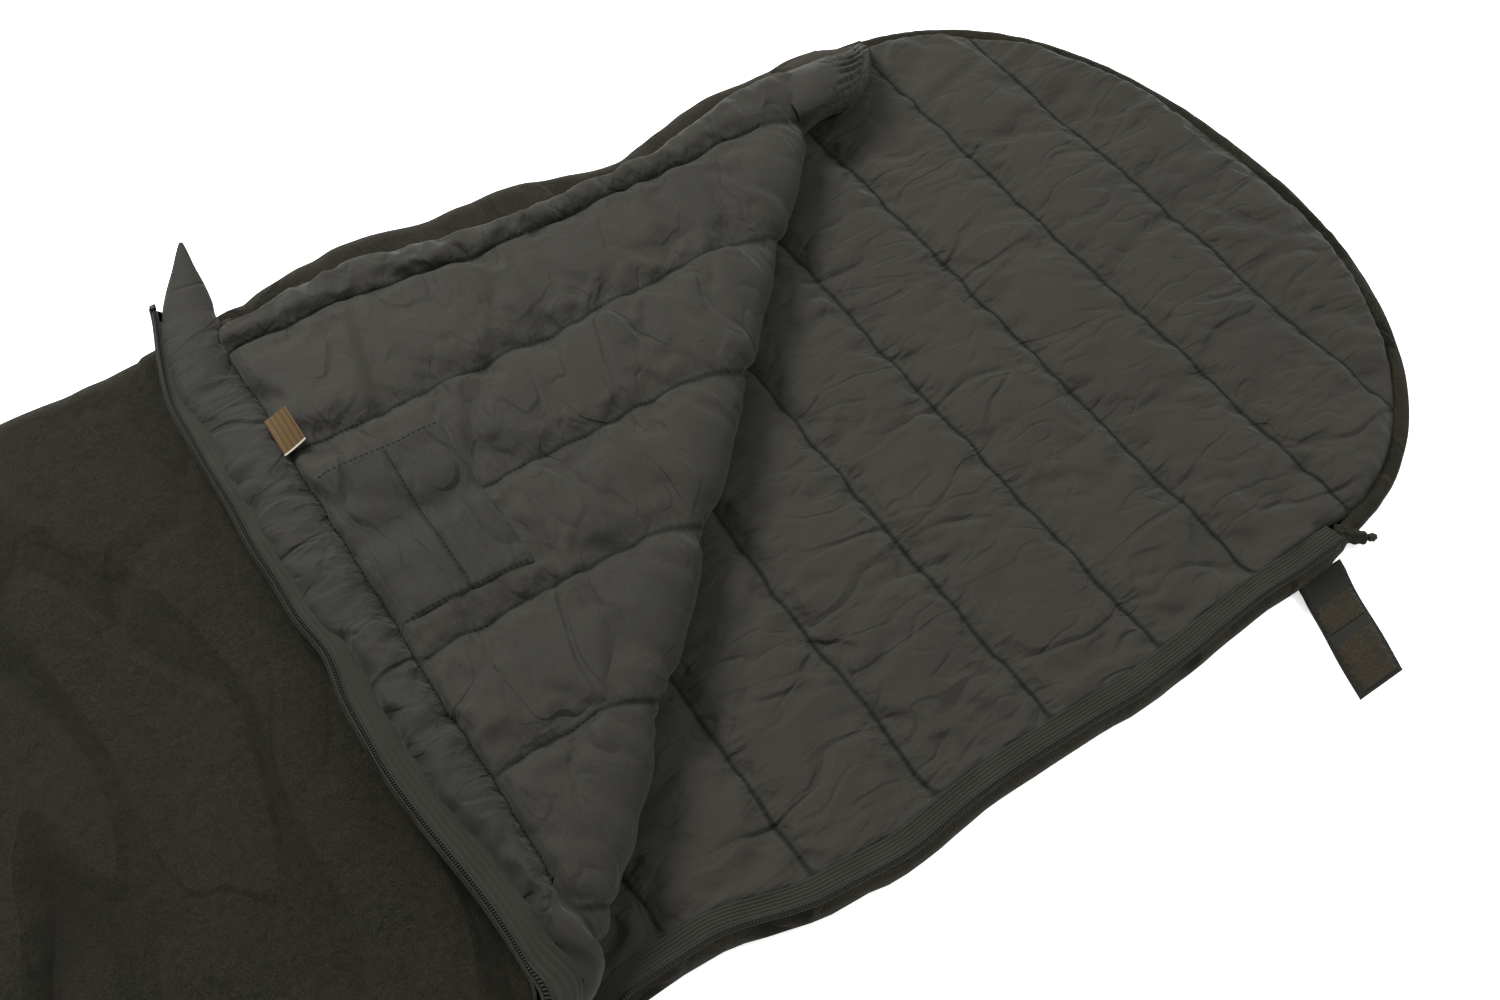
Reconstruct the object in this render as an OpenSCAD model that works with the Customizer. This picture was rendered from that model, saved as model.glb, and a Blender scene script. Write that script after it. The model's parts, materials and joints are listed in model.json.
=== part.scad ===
// Hooded, quilted bivy bag with a full-length side zip, shown with the cover unzipped
// and folded back along a diagonal line. Millimetres, +Z up, +Y towards the hood,
// +X towards the zip side, origin on the floor at the middle of the bag.

/* [Bag] */
// Overall length, foot seam to crown of the hood
bag_len = 2150; // [1900:10:2300]
// Overall width across the body
bag_w = 940; // [800:10:1000]
// Length of the hood, neck line to crown
hood_len = 340; // [250:10:380]
// Corner radius at the foot
foot_r = 90; // [40:10:160]

/* [Layers] */
// Thickness of the outer shell fabric
shell_t = 2; // [1:0.5:3]
// Thickness of the lining fabric
lining_t = 1.5; // [1:0.5:2]
// Loft of one padded layer at the crown of a channel
pad_t = 34; // [28:1:40]
// Air gap between the base and the zipped-down cover
body_gap = 4; // [3:1:8]

/* [Quilting] */
// Spacing of the quilt lines
channel = 142; // [100:1:170]
// How far a quilt line is pulled down below the crown
quilt_dip = 14; // [6:1:18]
// Distance from the crown of the hood to the first quilt line
first_line = 164; // [120:1:200]
// How far the cover's quilt lines sit behind the base's
cover_shift = 58; // [0:1:70]

/* [Opening] */
// How far the zip is undone, from the neck line to the slider
undone = 957; // [700:1:1000]
// Width of the padded draft tube behind the zip
tube_w = 66; // [40:1:80]
// How far the cover's neck hem is scooped below its corners
hem_scoop = 58; // [20:1:60]
// Distance from the neck line down to the ends of the cover's hem
hem_drop = 76; // [60:1:90]

/* [Strap] */
// Width of the neck strap
strap_w = 62; // [40:1:80]
// Length of the neck strap
strap_len = 115; // [90:1:150]
// How far the strap leans towards the foot over its length
strap_lean = 35; // [0:1:40]

/* [Hidden] */
seam = 0.2;                               // gap between stitched layers
half_w = bag_w / 2;
foot_y = -bag_len / 2;
crown_y = bag_len / 2;
neck_y = crown_y - hood_len;
neck_gap = 3;                             // half the gap at the hood's fold
zip_x = half_w - 10;                      // middle of the zip chain
seam_x = half_w - 34;                     // seam between lining and zip facing
hem_in = 18;                              // width of the drawcord channel

cover_z = pad_t + body_gap;               // underside of the zipped-down cover
cover_top = cover_z + pad_t;
hinge_z = cover_top + 1.2;                // height of the cover's fold axis
slider_y = neck_y - undone;
fold_sum = zip_x + slider_y;              // x + y along the fold line
fold_gap = 1;

zip_foot_y = foot_y + foot_r + 4;
zip_top_y = neck_y - 12;
flap_coil_top_y = zip_top_y - 24;
stop_len = 5;
coil_t = 3.8;
coil_w = 4.8;
coil_gap = 0.4;
tape_t = 1.2;
tape_h = 19;
coil_z = cover_z - 3;                     // underside of the base coil
cover_coil_z = coil_z + coil_t + coil_gap;
chain_mid = coil_z + coil_t + coil_gap / 2;

wing_t = 2.4;                             // slider's wings, either side of the chain
wing_in = 3.4;
slider_len = 30;
slider_h = 15;
bridge_len = 3.8;
bail_r = 3.2;
bail_h = 4;
pull_pin_r = 1.3;
pull_h = 10;

cover_near = half_w - 4;                  // near edge of the cover's shell
base_rim = chain_mid - slider_h / 2 - 3.5;
cover_rim = chain_mid + slider_h / 2 + 1.2;
cover_facing_z = cover_rim + 2.6;
facing_t = 1.1;
facing_ridge = 0.9;

strap_axis_x = half_w + 4;
strap_axis_z = (hinge_z + 4.8) / 2;
strap_y = neck_y - 45;
strap_root = half_w + 1;
strap_t = 2;

channels = ceil((bag_len - first_line) / channel);
arc_steps = 10;
hood_steps = 32;

shell_colour = [0.17, 0.16, 0.13];
lining_colour = [0.19, 0.19, 0.16];
batting_colour = [0.86, 0.85, 0.80];
trim_colour = [0.12, 0.12, 0.10];
hook_colour = [0.30, 0.26, 0.17];
label_colour = [0.55, 0.37, 0.14];
metal_colour = [0.25, 0.25, 0.24];

// ---- Outlines -----------------------------------------------------------------------

function arc(cx, cy, rx, ry, from, to, n) =
  [for (i = [0 : n]) let (a = from + (to - from) * i / n) [cx + rx * cos(a), cy + ry * sin(a)]];

// Body of the bag from the foot to the neck line, pulled in by inset, ending at near_x.
function body_points(inset, near_x) = concat(
  [[near_x, neck_y - neck_gap], [-half_w + inset, neck_y - neck_gap]],
  arc(-half_w + foot_r, foot_y + foot_r, foot_r - inset, foot_r - inset, 180, 270, 6),
  arc(near_x + inset - foot_r, foot_y + foot_r, foot_r - inset, foot_r - inset, 270, 360, 6)
);

module body_prism(inset, near_x, z0, z1) {
  translate([0, 0, z0])
    linear_extrude(z1 - z0)
      polygon(body_points(inset, near_x));
}

// Hood: half an ellipse beyond the neck line, pulled in by inset.
module hood_prism(inset, z0, z1) {
  translate([0, 0, z0])
    linear_extrude(z1 - z0)
      intersection() {
        polygon(arc(0, neck_y, half_w - inset, hood_len - inset, 0, 180, hood_steps));
        translate([-half_w, neck_y + neck_gap])
          square([bag_w, hood_len]);
      }
}

// The part of the cover that stays zipped down lies on the foot side of the fold line.
module stays_down(z0, z1, back = 0) {
  reach = half_w + 60;
  translate([0, 0, z0])
    linear_extrude(z1 - z0)
      polygon([
        [-reach, foot_y - 10],
        [reach, foot_y - 10],
        [reach, fold_sum - fold_gap - back - reach],
        [-reach, fold_sum - fold_gap - back + reach]
      ]);
}

// Neck hem of the cover: a shallow scoop from the far edge to the draft tube. Near the far
// edge it keeps clear of the fold line by hem_room.
tube_x0 = zip_x - 8 - tube_w;
hem_end_y = neck_y - hem_drop;
hem_rise = 60;
hem_room = 30;
hem_steps = 12;
function hem_y(x) =
  let (t = (x + half_w) / (tube_x0 + half_w),
       scooped = hem_end_y - hem_scoop * 4 * t * (1 - t),
       room = 2 + hem_room * min(1, (x + half_w) / 70))
  max(scooped, fold_sum + fold_gap + room - x);

// Region of the cover that folds back, drawn in its zipped-up place.
module folds_back(x1, z0, z1) {
  over_tube = max(0, x1 - tube_x0);
  hem_x1 = min(x1, tube_x0);
  translate([0, 0, z0])
    linear_extrude(z1 - z0)
      polygon(concat(
        [[-half_w, fold_sum + fold_gap + half_w], [x1, fold_sum + fold_gap - x1]],
        [[x1, hem_end_y + hem_rise * over_tube / tube_w]],
        [for (i = [hem_steps : -1 : 0])
          let (x = -half_w + (hem_x1 + half_w) * i / hem_steps)
          if (i < hem_steps || over_tube > 0) [x, hem_y(x)]]
      ));
}

// Turns a zipped-up piece of the cover over the fold line, to where it rests.
module folded_open() {
  translate([0, fold_sum, hinge_z])
    rotate(a = 180, v = [-1, 1, 0])
      translate([0, -fold_sum, -hinge_z])
        children();
}

// ---- Quilting -----------------------------------------------------------------------

function line_y(k, shift) = crown_y - first_line - shift - channel * k;

// Height of a quilted face above its flat face, t running 0 to 1 across a channel.
function loft(t) = pad_t - quilt_dip * pow(1 - sin(180 * t), 2);

// Section along Y of one channel of padding, between the shell and the lining.
function channel_points(k, shift) =
  let (y0 = line_y(k, shift), low = shell_t + seam, cut = lining_t + seam)
  concat(
    [[y0 - seam / 2, low], [y0 - channel + seam / 2, low]],
    [for (i = [arc_steps : -1 : 0])
      let (edge = i == 0 ? -seam / 2 : i == arc_steps ? seam / 2 : 0)
      [y0 - i * channel / arc_steps + edge, loft(i / arc_steps) - cut]]
  );

function ripple_points(k0, k1, shift, cut) =
  [for (k = [k0 : k1], i = [0 : arc_steps - 1])
    [line_y(k, shift) - channel * i / arc_steps, loft(i / arc_steps) - cut]];

function reversed(list) = [for (i = [len(list) - 1 : -1 : 0]) list[i]];

// Extrudes a section drawn in (Y, Z) across the width of the bag.
module across(points) {
  translate([-half_w - 20, 0, 0])
    rotate([90, 0, 90])
      linear_extrude(bag_w + 40)
        polygon(points);
}

// Padding in separate channels, outer side down at z = 0.
module batting_channels(k0, k1, shift) {
  for (k = [k0 : k1])
    across(channel_points(k, shift));
}

// Lining drawn down at each quilt line, outer side of the padded layer at z = 0.
module rippled_lining(k0, k1, shift) {
  across(concat(
    ripple_points(k0, k1, shift, 0),
    reversed(ripple_points(k0, k1, shift, lining_t))
  ));
}

// Turns a padded layer lining side down, for the cover.
module lining_down() {
  translate([0, 0, cover_top])
    mirror([0, 0, 1])
      children();
}

// ---- Base ---------------------------------------------------------------------------

module base_shell() {
  color(shell_colour)
    difference() {
      body_prism(0, half_w, 0, base_rim);
      body_prism(shell_t, half_w - shell_t, shell_t, base_rim + 1);
    }
}

module base_batting() {
  color(batting_colour)
    intersection() {
      batting_channels(0, channels, 0);
      body_prism(shell_t + 1, seam_x - 1, 0, pad_t);
    }
}

module base_lining() {
  color(lining_colour)
    intersection() {
      rippled_lining(0, channels, 0);
      body_prism(shell_t + 1, seam_x - 1, 0, pad_t + 1);
    }
}

// Fabric that joins base and cover round the far side and the foot, up to the zip.
module side_wrap() {
  wrap_top_y = fold_sum + half_w - 4;
  z0 = base_rim + seam;
  z1 = cover_rim - seam;
  color(shell_colour)
    difference() {
      body_prism(0, half_w, z0, z1);
      body_prism(shell_t, half_w - shell_t, z0 - 1, z1 + 1);
      translate([half_w - foot_r / 2, zip_foot_y - 10, z0 - 1])
        cube([foot_r, bag_len, z1 - z0 + 2]);
      translate([-half_w - 1, wrap_top_y, z0 - 1])
        cube([bag_w, bag_len, z1 - z0 + 2]);
    }
}

// ---- Zipped-down part of the cover ---------------------------------------------------

module cover_shell() {
  color(shell_colour)
    intersection() {
      difference() {
        body_prism(0, cover_near, cover_rim, cover_top);
        body_prism(shell_t, cover_near - shell_t, cover_rim - 1, cover_top - shell_t);
      }
      stays_down(0, cover_top + 1);
    }
}

module cover_batting() {
  color(batting_colour)
    intersection() {
      lining_down() batting_channels(0, channels, cover_shift);
      body_prism(shell_t + 1, tube_x0 - 1, cover_z, cover_top);
      stays_down(cover_z, cover_top);
    }
}

module cover_lining() {
  color(lining_colour)
    intersection() {
      lining_down() rippled_lining(0, channels, cover_shift);
      body_prism(shell_t + 1, tube_x0 - 1, cover_z - 1, cover_top);
      stays_down(cover_z - 1, cover_top);
    }
}

// ---- Zip ----------------------------------------------------------------------------

// Stitched facing beside the zip: a strip with raised rows along Y, on the side given.
module zip_facing(x0, x1, y0, y1, z, side) {
  rows = 5;
  pitch = (x1 - x0) / rows;
  row = [[0.1, facing_t], [0.3, facing_t + facing_ridge], [0.7, facing_t + facing_ridge], [0.9, facing_t]];
  translate([0, y1, z])
    rotate([90, 0, 0])
      mirror([0, side < 0 ? 1 : 0, 0])
        linear_extrude(y1 - y0)
          polygon(concat(
            [[x1, 0], [x0, 0]],
            [for (r = [0 : rows - 1], p = row) [x0 + (r + p[0]) * pitch, p[1]]]
          ));
}

module zip_strip(width, z0, height, y0, y1) {
  translate([zip_x - width / 2, y0, z0])
    cube([width, y1 - y0, height]);
}

module base_zip_facing() {
  color(trim_colour)
    zip_facing(seam_x, zip_x - 7, zip_foot_y, neck_y - 6, coil_z - 4.5, 1);
}

module base_zip_tape() {
  color(trim_colour)
    zip_strip(tape_t, coil_z - tape_h, tape_h - seam, zip_foot_y, zip_top_y);
}

module base_zip_coil() {
  color(trim_colour)
    zip_strip(coil_w, coil_z, coil_t, zip_foot_y, zip_top_y);
}

module cover_zip_facing() {
  color(trim_colour)
    zip_facing(seam_x + 19, zip_x - 1.5, zip_foot_y, slider_y - 8, cover_facing_z, -1);
}

module cover_zip_tape() {
  color(trim_colour)
    zip_strip(tape_t, cover_coil_z + coil_t + seam, tape_h, zip_foot_y, slider_y - 8);
}

module cover_zip_coil() {
  color(trim_colour)
    zip_strip(coil_w, cover_coil_z, coil_t, zip_foot_y, slider_y - 8);
}

// Metal clip over both ends of the closed chain, notched at its outer end.
module zip_bottom_stop() {
  clip_w = 8;
  clip_z = coil_z - 1.5;
  clip_h = 2 * coil_t + coil_gap + 3;
  color(metal_colour)
    difference() {
      translate([zip_x - clip_w / 2, zip_foot_y - 7, clip_z])
        cube([clip_w, 6.8, clip_h]);
      translate([zip_x - 1, zip_foot_y - 8, clip_z - 1])
        cube([2, 3, clip_h + 2]);
    }
}

// Zip slider: a wing each side of the chain, a bridge ahead of it, and a bail on each wing.
pin_offset = wing_in + wing_t + bail_r - 1;
pin_y = slider_y - 10;
module zip_slider() {
  color(metal_colour)
    difference() {
      union() {
        for (s = [-1, 1])
          translate([zip_x + s * (wing_in + wing_t / 2) - wing_t / 2,
                     slider_y + bridge_len + seam - slider_len, chain_mid - slider_h / 2])
            cube([wing_t, slider_len, slider_h]);
        translate([zip_x - wing_in - 0.5, slider_y + seam, chain_mid + 0.4])
          cube([2 * wing_in + 1, bridge_len, slider_h / 2 - 0.4]);
        for (s = [-1, 1])
          translate([zip_x + s * pin_offset, pin_y, chain_mid])
            cylinder(r = bail_r, h = bail_h, center = true, $fn = 48);
      }
      for (s = [-1, 1])
        translate([zip_x + s * pin_offset, pin_y, chain_mid])
          cylinder(r = pull_pin_r + 0.05, h = bail_h + 2, center = true, $fn = 48);
    }
}

// Pull tab on the side given: a pin through the slider's bail, a yoke and a holed tongue.
module zip_pull(side, length) {
  px = zip_x + side * pin_offset;
  ear = pull_h / 2 - bail_h / 2 - 0.9;
  yoke_len = 6;
  color(metal_colour)
    difference() {
      union() {
        translate([px, pin_y, chain_mid])
          cylinder(r = pull_pin_r, h = pull_h, center = true, $fn = 48);
        for (s = [-1, 1])
          translate([px - pull_pin_r, pin_y - yoke_len, chain_mid + s * (pull_h - ear) / 2 - ear / 2])
            cube([2 * pull_pin_r, yoke_len, ear]);
        translate([px - 1, pin_y - length, chain_mid - pull_h / 2])
          cube([2, length - yoke_len + 1, pull_h]);
      }
      translate([px, pin_y - length + 6, chain_mid])
        rotate([0, 90, 0])
          cylinder(r = 2.2, h = 8, center = true, $fn = 40);
    }
}

module zip_pull_outer() {
  zip_pull(1, 34);
}

module zip_pull_inner() {
  zip_pull(-1, 26);
}

// ---- Draft tube ---------------------------------------------------------------------

tube_mid_x = tube_x0 + tube_w / 2;
tube_mid_z = cover_z + pad_t / 2 - 1;
tube_tip_y = neck_y - 5;
tube_skin = 1.6;
function oval(rx, rz, n) = [for (i = [0 : n - 1]) [rx * cos(360 * i / n), rz * sin(360 * i / n)]];

// Oval padded roll beside the zip, pulled in by inset.
module tube_roll(y0, y1, inset) {
  translate([tube_mid_x, y1, tube_mid_z])
    rotate([90, 0, 0])
      linear_extrude(y1 - y0)
        polygon(oval(tube_w / 2 - inset, pad_t / 2 - 1.2 - inset, 28));
}

// Part of the roll on the folded-back cover, cut to a point past the neck hem.
module upper_tube(inset) {
  intersection() {
    tube_roll(slider_y - 20, tube_tip_y, inset);
    linear_extrude(cover_top)
      polygon([
        [tube_x0, fold_sum + fold_gap - tube_x0 + inset],
        [tube_x0 + tube_w, fold_sum + fold_gap - tube_x0 - tube_w + inset],
        [tube_x0 + tube_w, hem_end_y + tube_w / 2 - inset],
        [tube_mid_x - 8, tube_tip_y - 2 * inset],
        [tube_x0, hem_end_y - inset]
      ]);
  }
}

module lower_tube(inset) {
  intersection() {
    tube_roll(zip_foot_y + inset, slider_y + tube_w + 30, inset);
    stays_down(cover_z, cover_top, inset);
  }
}

module draft_tube_cover() {
  color(lining_colour)
    folded_open()
      difference() {
        upper_tube(0.4);
        upper_tube(0.4 + tube_skin);
      }
}

module draft_tube_filling() {
  color(batting_colour)
    folded_open()
      upper_tube(0.6 + tube_skin);
}

module lower_draft_tube_cover() {
  color(lining_colour)
    difference() {
      lower_tube(0.4);
      lower_tube(0.4 + tube_skin);
    }
}

module lower_draft_tube_filling() {
  color(batting_colour)
    lower_tube(0.6 + tube_skin);
}

// ---- Folded-back part of the cover ---------------------------------------------------

// The last quilt line before the neck hem, where the neck tube is sewn on.
neck_seam_y = line_y(2, cover_shift);
module below_neck_seam() {
  translate([-half_w - 20, foot_y, cover_z - 1])
    cube([bag_w + 40, neck_seam_y - foot_y - 0.5, pad_t + 2]);
}

// Top face of the shell with a turned-down edge along the zip.
module flap_shell() {
  color(shell_colour)
    folded_open()
      difference() {
        folds_back(cover_near, cover_rim, cover_top);
        translate([-half_w - 1, -bag_len, 0])
          cube([cover_near - shell_t + half_w + 1, 2 * bag_len, cover_top - shell_t]);
      }
}

module flap_batting() {
  color(batting_colour)
    folded_open()
      intersection() {
        lining_down() batting_channels(0, channels, cover_shift);
        folds_back(tube_x0 - 1, cover_z, cover_top);
        below_neck_seam();
      }
}

module flap_lining() {
  color(lining_colour)
    folded_open()
      intersection() {
        lining_down() rippled_lining(0, channels, cover_shift);
        folds_back(tube_x0 - 1, cover_z - 1, cover_top);
        below_neck_seam();
      }
}

module flap_zip_facing() {
  color(trim_colour)
    folded_open()
      zip_facing(seam_x + 19, zip_x - 1.5, slider_y + 12, hem_end_y + 40, cover_facing_z, -1);
}

module flap_zip_tape() {
  color(trim_colour)
    folded_open()
      zip_strip(tape_t, cover_coil_z + coil_t + seam, tape_h, slider_y + 8, flap_coil_top_y);
}

module flap_zip_coil() {
  color(trim_colour)
    folded_open()
      zip_strip(coil_w, cover_coil_z, coil_t, slider_y + 8, flap_coil_top_y);
}

module flap_top_stop() {
  color(metal_colour)
    folded_open()
      translate([zip_x - 3, flap_coil_top_y + seam, cover_coil_z + seam])
        cube([6, stop_len, coil_t]);
}

// Neck tube: a padded roll between the last quilt line and the neck hem.
module neck_roll(inset) {
  steps = 16;
  near = tube_x0 - 1 - inset;
  far = fold_sum + fold_gap - neck_seam_y + 2;
  sewn_y = neck_seam_y + 0.5 + inset;
  hem_points = [for (i = [0 : steps])
    let (x = -half_w + 14 + (tube_x0 - 10 + half_w - 14) * i / steps)
    if (x + hem_y(x) > fold_sum + hem_room + 4 && x > far - 40)
      [x + 2 * inset, hem_y(x) - 1 - inset]];
  translate([0, 0, cover_z + 2 + inset])
    linear_extrude(pad_t - shell_t - 4 - 2 * inset)
      polygon(concat(
        [[near, sewn_y], [far + 2 * inset, sewn_y]],
        hem_points,
        [[near, hem_y(near) - 1 - inset]]
      ));
}

module neck_tube_cover() {
  color(lining_colour)
    folded_open()
      difference() {
        neck_roll(0);
        neck_roll(lining_t);
      }
}

module neck_tube_filling() {
  color(batting_colour)
    folded_open()
      neck_roll(lining_t + seam);
}

// Patch pocket on the lining, its hemmed mouth towards the fold.
pocket_w = 203;
pocket_d = 128;
pocket_hem_d = 66;
pocket_x = -157;
pocket_y = -2;
open_top = 2 * hinge_z - cover_z;         // crown of the folded-back lining

module pocket() {
  color(lining_colour)
    translate([pocket_x, pocket_y - pocket_d, open_top + seam])
      cube([pocket_w, pocket_d - pocket_hem_d, 1.4]);
}

module pocket_hem() {
  color(lining_colour)
    translate([pocket_x, pocket_y - pocket_hem_d + seam, open_top + seam])
      cube([pocket_w, pocket_hem_d - seam, 1.8]);
}

// Folded label caught in the draft tube's seam, beside the pocket.
module care_label() {
  label_w = 52;
  label_gap = 47;
  color(label_colour)
    translate([pocket_x - label_gap - label_w, fold_sum - tube_x0 + 2, open_top + seam])
      cube([label_w, 20, 1]);
}

// Loop patch on the outer face of the cover, where the strap lands when folded over.
module strap_landing_patch() {
  x0 = tube_x0 - 30;
  x1 = tube_x0 + 56;
  y0 = hem_end_y - 44;
  color(hook_colour)
    folded_open()
      translate([0, 0, cover_top])
        linear_extrude(0.9)
          polygon([
            [x0, y0],
            [x1, y0],
            [x1, hem_end_y + 30],
            [tube_x0, hem_end_y - 8],
            [x0, hem_end_y - 18]
          ]);
}

// ---- Hood ---------------------------------------------------------------------------

module hood_shell() {
  color(shell_colour)
    hood_prism(0, 0, shell_t);
}

module hood_batting() {
  color(batting_colour)
    intersection() {
      batting_channels(-2, 1, 0);
      hood_prism(hem_in + 1, 0, pad_t);
    }
}

module hood_lining() {
  color(lining_colour)
    intersection() {
      rippled_lining(-2, 1, 0);
      hood_prism(hem_in + 0.5, 0, pad_t + 1);
    }
}

cord_d = 4;
cord_z = 13;                              // middle of the drawcord
cord_in = 9;                              // drawcord's distance inside the hood's edge
hem_top = 21;

// Drawcord channel: the shell turned over the hood's edge, hollow, open at the neck.
module hood_hem() {
  wall = 3;
  color(shell_colour)
    difference() {
      hood_prism(0, shell_t + seam, hem_top);
      hood_prism(hem_in, 0, hem_top + 1);
      difference() {
        hood_prism(wall + 2, cord_z - 4, cord_z + 4);
        hood_prism(hem_in - wall - 2, 0, hem_top);
      }
    }
}

// Drawcord round the hood inside its channel, with its near end out at the zip side.
knot_r = 4.5;
near_knot_x = half_w + 9 + knot_r - cord_d + seam;
module drawcord() {
  z0 = cord_z - cord_d / 2;
  near_end = half_w - cord_in - cord_d / 2;
  color(trim_colour) {
    difference() {
      hood_prism(cord_in - cord_d / 2, z0, z0 + cord_d);
      hood_prism(cord_in + cord_d / 2, z0 - 1, z0 + cord_d + 1);
    }
    translate([near_end, neck_y - cord_d / 4, z0])
      cube([near_knot_x - knot_r - seam - near_end, cord_d, cord_d]);
  }
}

module cord_knot() {
  color(trim_colour)
    translate([near_knot_x, neck_y + cord_d / 4, cord_z])
      sphere(r = knot_r, $fn = 32);
}

// The drawcord's far end comes out of the base's edge below the neck and runs towards the
// foot beside it, through the cord lock, to a knot.
tail_x = -half_w - 11;
tail_y = neck_y - 8;
tail_len = 108;
module cord_tail() {
  color(trim_colour) {
    translate([tail_x - cord_d / 2, tail_y - cord_d / 2, cord_z - cord_d / 2])
      cube([cord_d / 2 - tail_x - half_w - seam, cord_d, cord_d]);
    translate([tail_x, tail_y, cord_z])
      rotate([90, 0, 0])
        cylinder(d = cord_d, h = tail_len, $fn = 32);
    translate([tail_x, tail_y - tail_len - knot_r / 2, cord_z])
      sphere(r = knot_r, $fn = 32);
  }
}

// Cord lock: a barrel the cord passes through, a sprung plunger with a matching slot.
lock_y = tail_y - 32;
lock_r = 8;
lock_h = 23;
well_r = 5.5;
well_floor = 3.4;
plunger_z = 9.4;
press_travel = 3.4;
module cord_lock_barrel() {
  color(trim_colour)
    difference() {
      translate([tail_x, lock_y, 1])
        cylinder(r = lock_r, h = lock_h, $fn = 64);
      translate([tail_x, lock_y, well_floor])
        cylinder(r = well_r, h = lock_h, $fn = 64);
      translate([tail_x, lock_y - lock_r - 1, cord_z])
        rotate([-90, 0, 0])
          cylinder(r = cord_d / 2 + 0.5, h = 2 * lock_r + 2, $fn = 48);
    }
}

module cord_lock_plunger() {
  slot_w = cord_d + 1;
  slot_z = cord_z - cord_d / 2 - 0.4;
  color(metal_colour)
    difference() {
      translate([tail_x, lock_y, plunger_z])
        cylinder(r = well_r - 0.1, h = 20, $fn = 64);
      translate([tail_x - slot_w / 2, lock_y - lock_r, slot_z])
        cube([slot_w, 2 * lock_r, cord_d + press_travel + 0.8]);
    }
}

// Spring under the plunger: a stack of rings stands for its coils.
module cord_lock_spring() {
  wire_r = 0.4;
  rings = 3;
  rise = (plunger_z - well_floor - 2 * wire_r - 0.4) / (rings - 1);
  color(metal_colour)
    for (i = [0 : rings - 1])
      translate([tail_x, lock_y, well_floor + 0.2 + wire_r + i * rise])
        rotate_extrude($fn = 48)
          translate([3.6, 0])
            circle(r = wire_r, $fn = 16);
}

// ---- Neck strap ---------------------------------------------------------------------

// Slice of the leaning strap between distances a and b along it, pulled in by margin.
module strap_slice(a, b, margin, z0, thick) {
  function edge(d, s) =
    [strap_root + d, strap_y + s * (strap_w / 2 - margin) - strap_lean * d / strap_len];
  translate([0, 0, z0])
    linear_extrude(thick)
      polygon([edge(a, 1), edge(a, -1), edge(b, -1), edge(b, 1)]);
}

module neck_strap() {
  color(trim_colour)
    strap_slice(0, strap_len, 0, 1, strap_t);
}

module strap_hook_patch() {
  color(hook_colour)
    strap_slice(strap_len - 52, strap_len - 3, 6, 1 + strap_t, 1.2);
}

module strap_loop_patch() {
  color(hook_colour)
    strap_slice(16, 50, 4, 1 + strap_t, 1.2);
}

// ---- Assembly -----------------------------------------------------------------------

base_shell();
base_batting();
base_lining();
side_wrap();
cover_shell();
cover_batting();
cover_lining();
base_zip_facing();
base_zip_tape();
base_zip_coil();
cover_zip_facing();
cover_zip_tape();
cover_zip_coil();
zip_bottom_stop();
flap_shell();
flap_batting();
flap_lining();
flap_zip_facing();
flap_zip_tape();
flap_zip_coil();
flap_top_stop();
draft_tube_cover();
draft_tube_filling();
neck_tube_cover();
neck_tube_filling();
lower_draft_tube_cover();
lower_draft_tube_filling();
pocket();
pocket_hem();
care_label();
strap_landing_patch();
hood_shell();
hood_batting();
hood_lining();
hood_hem();
drawcord();
cord_knot();
cord_tail();
cord_lock_barrel();
cord_lock_plunger();
cord_lock_spring();
neck_strap();
strap_hook_patch();
strap_loop_patch();
zip_slider();
zip_pull_outer();
zip_pull_inner();
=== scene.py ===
"""Hooded, quilted bivy bag, unzipped and folded back along a diagonal, on a plain floor.

The cover's pieces are drawn zipped up, in plan (x, y) with a depth below the hinge line of the
fold, and over_fold() carries them round the soft bend to where they rest.
"""

import json
import math

import bmesh
import bpy
import numpy as np
from mathutils import Matrix, Vector


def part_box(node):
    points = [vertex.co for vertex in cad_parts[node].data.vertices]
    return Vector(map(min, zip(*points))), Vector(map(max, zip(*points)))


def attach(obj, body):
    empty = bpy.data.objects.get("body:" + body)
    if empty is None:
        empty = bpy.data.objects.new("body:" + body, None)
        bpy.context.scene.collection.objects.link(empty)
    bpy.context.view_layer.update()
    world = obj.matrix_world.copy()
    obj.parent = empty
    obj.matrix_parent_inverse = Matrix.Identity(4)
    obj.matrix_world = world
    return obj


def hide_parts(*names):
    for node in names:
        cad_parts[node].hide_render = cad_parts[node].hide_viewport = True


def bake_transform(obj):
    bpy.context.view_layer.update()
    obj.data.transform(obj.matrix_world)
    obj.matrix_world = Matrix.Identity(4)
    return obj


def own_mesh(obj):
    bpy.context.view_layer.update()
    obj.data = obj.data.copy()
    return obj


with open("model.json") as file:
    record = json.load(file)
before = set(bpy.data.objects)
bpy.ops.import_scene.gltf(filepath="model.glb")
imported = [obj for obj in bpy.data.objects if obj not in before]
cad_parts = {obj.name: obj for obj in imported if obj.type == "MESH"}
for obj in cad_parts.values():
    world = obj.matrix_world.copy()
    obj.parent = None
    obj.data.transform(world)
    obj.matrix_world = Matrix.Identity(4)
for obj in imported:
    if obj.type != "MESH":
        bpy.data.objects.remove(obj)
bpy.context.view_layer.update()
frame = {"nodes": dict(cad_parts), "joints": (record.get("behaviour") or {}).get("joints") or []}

# ---- Driving values, in metres --------------------------------------------------------


def joint_place(name):
    return next(j["pos_m"] for j in frame["joints"] if j["name"] == name)


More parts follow.
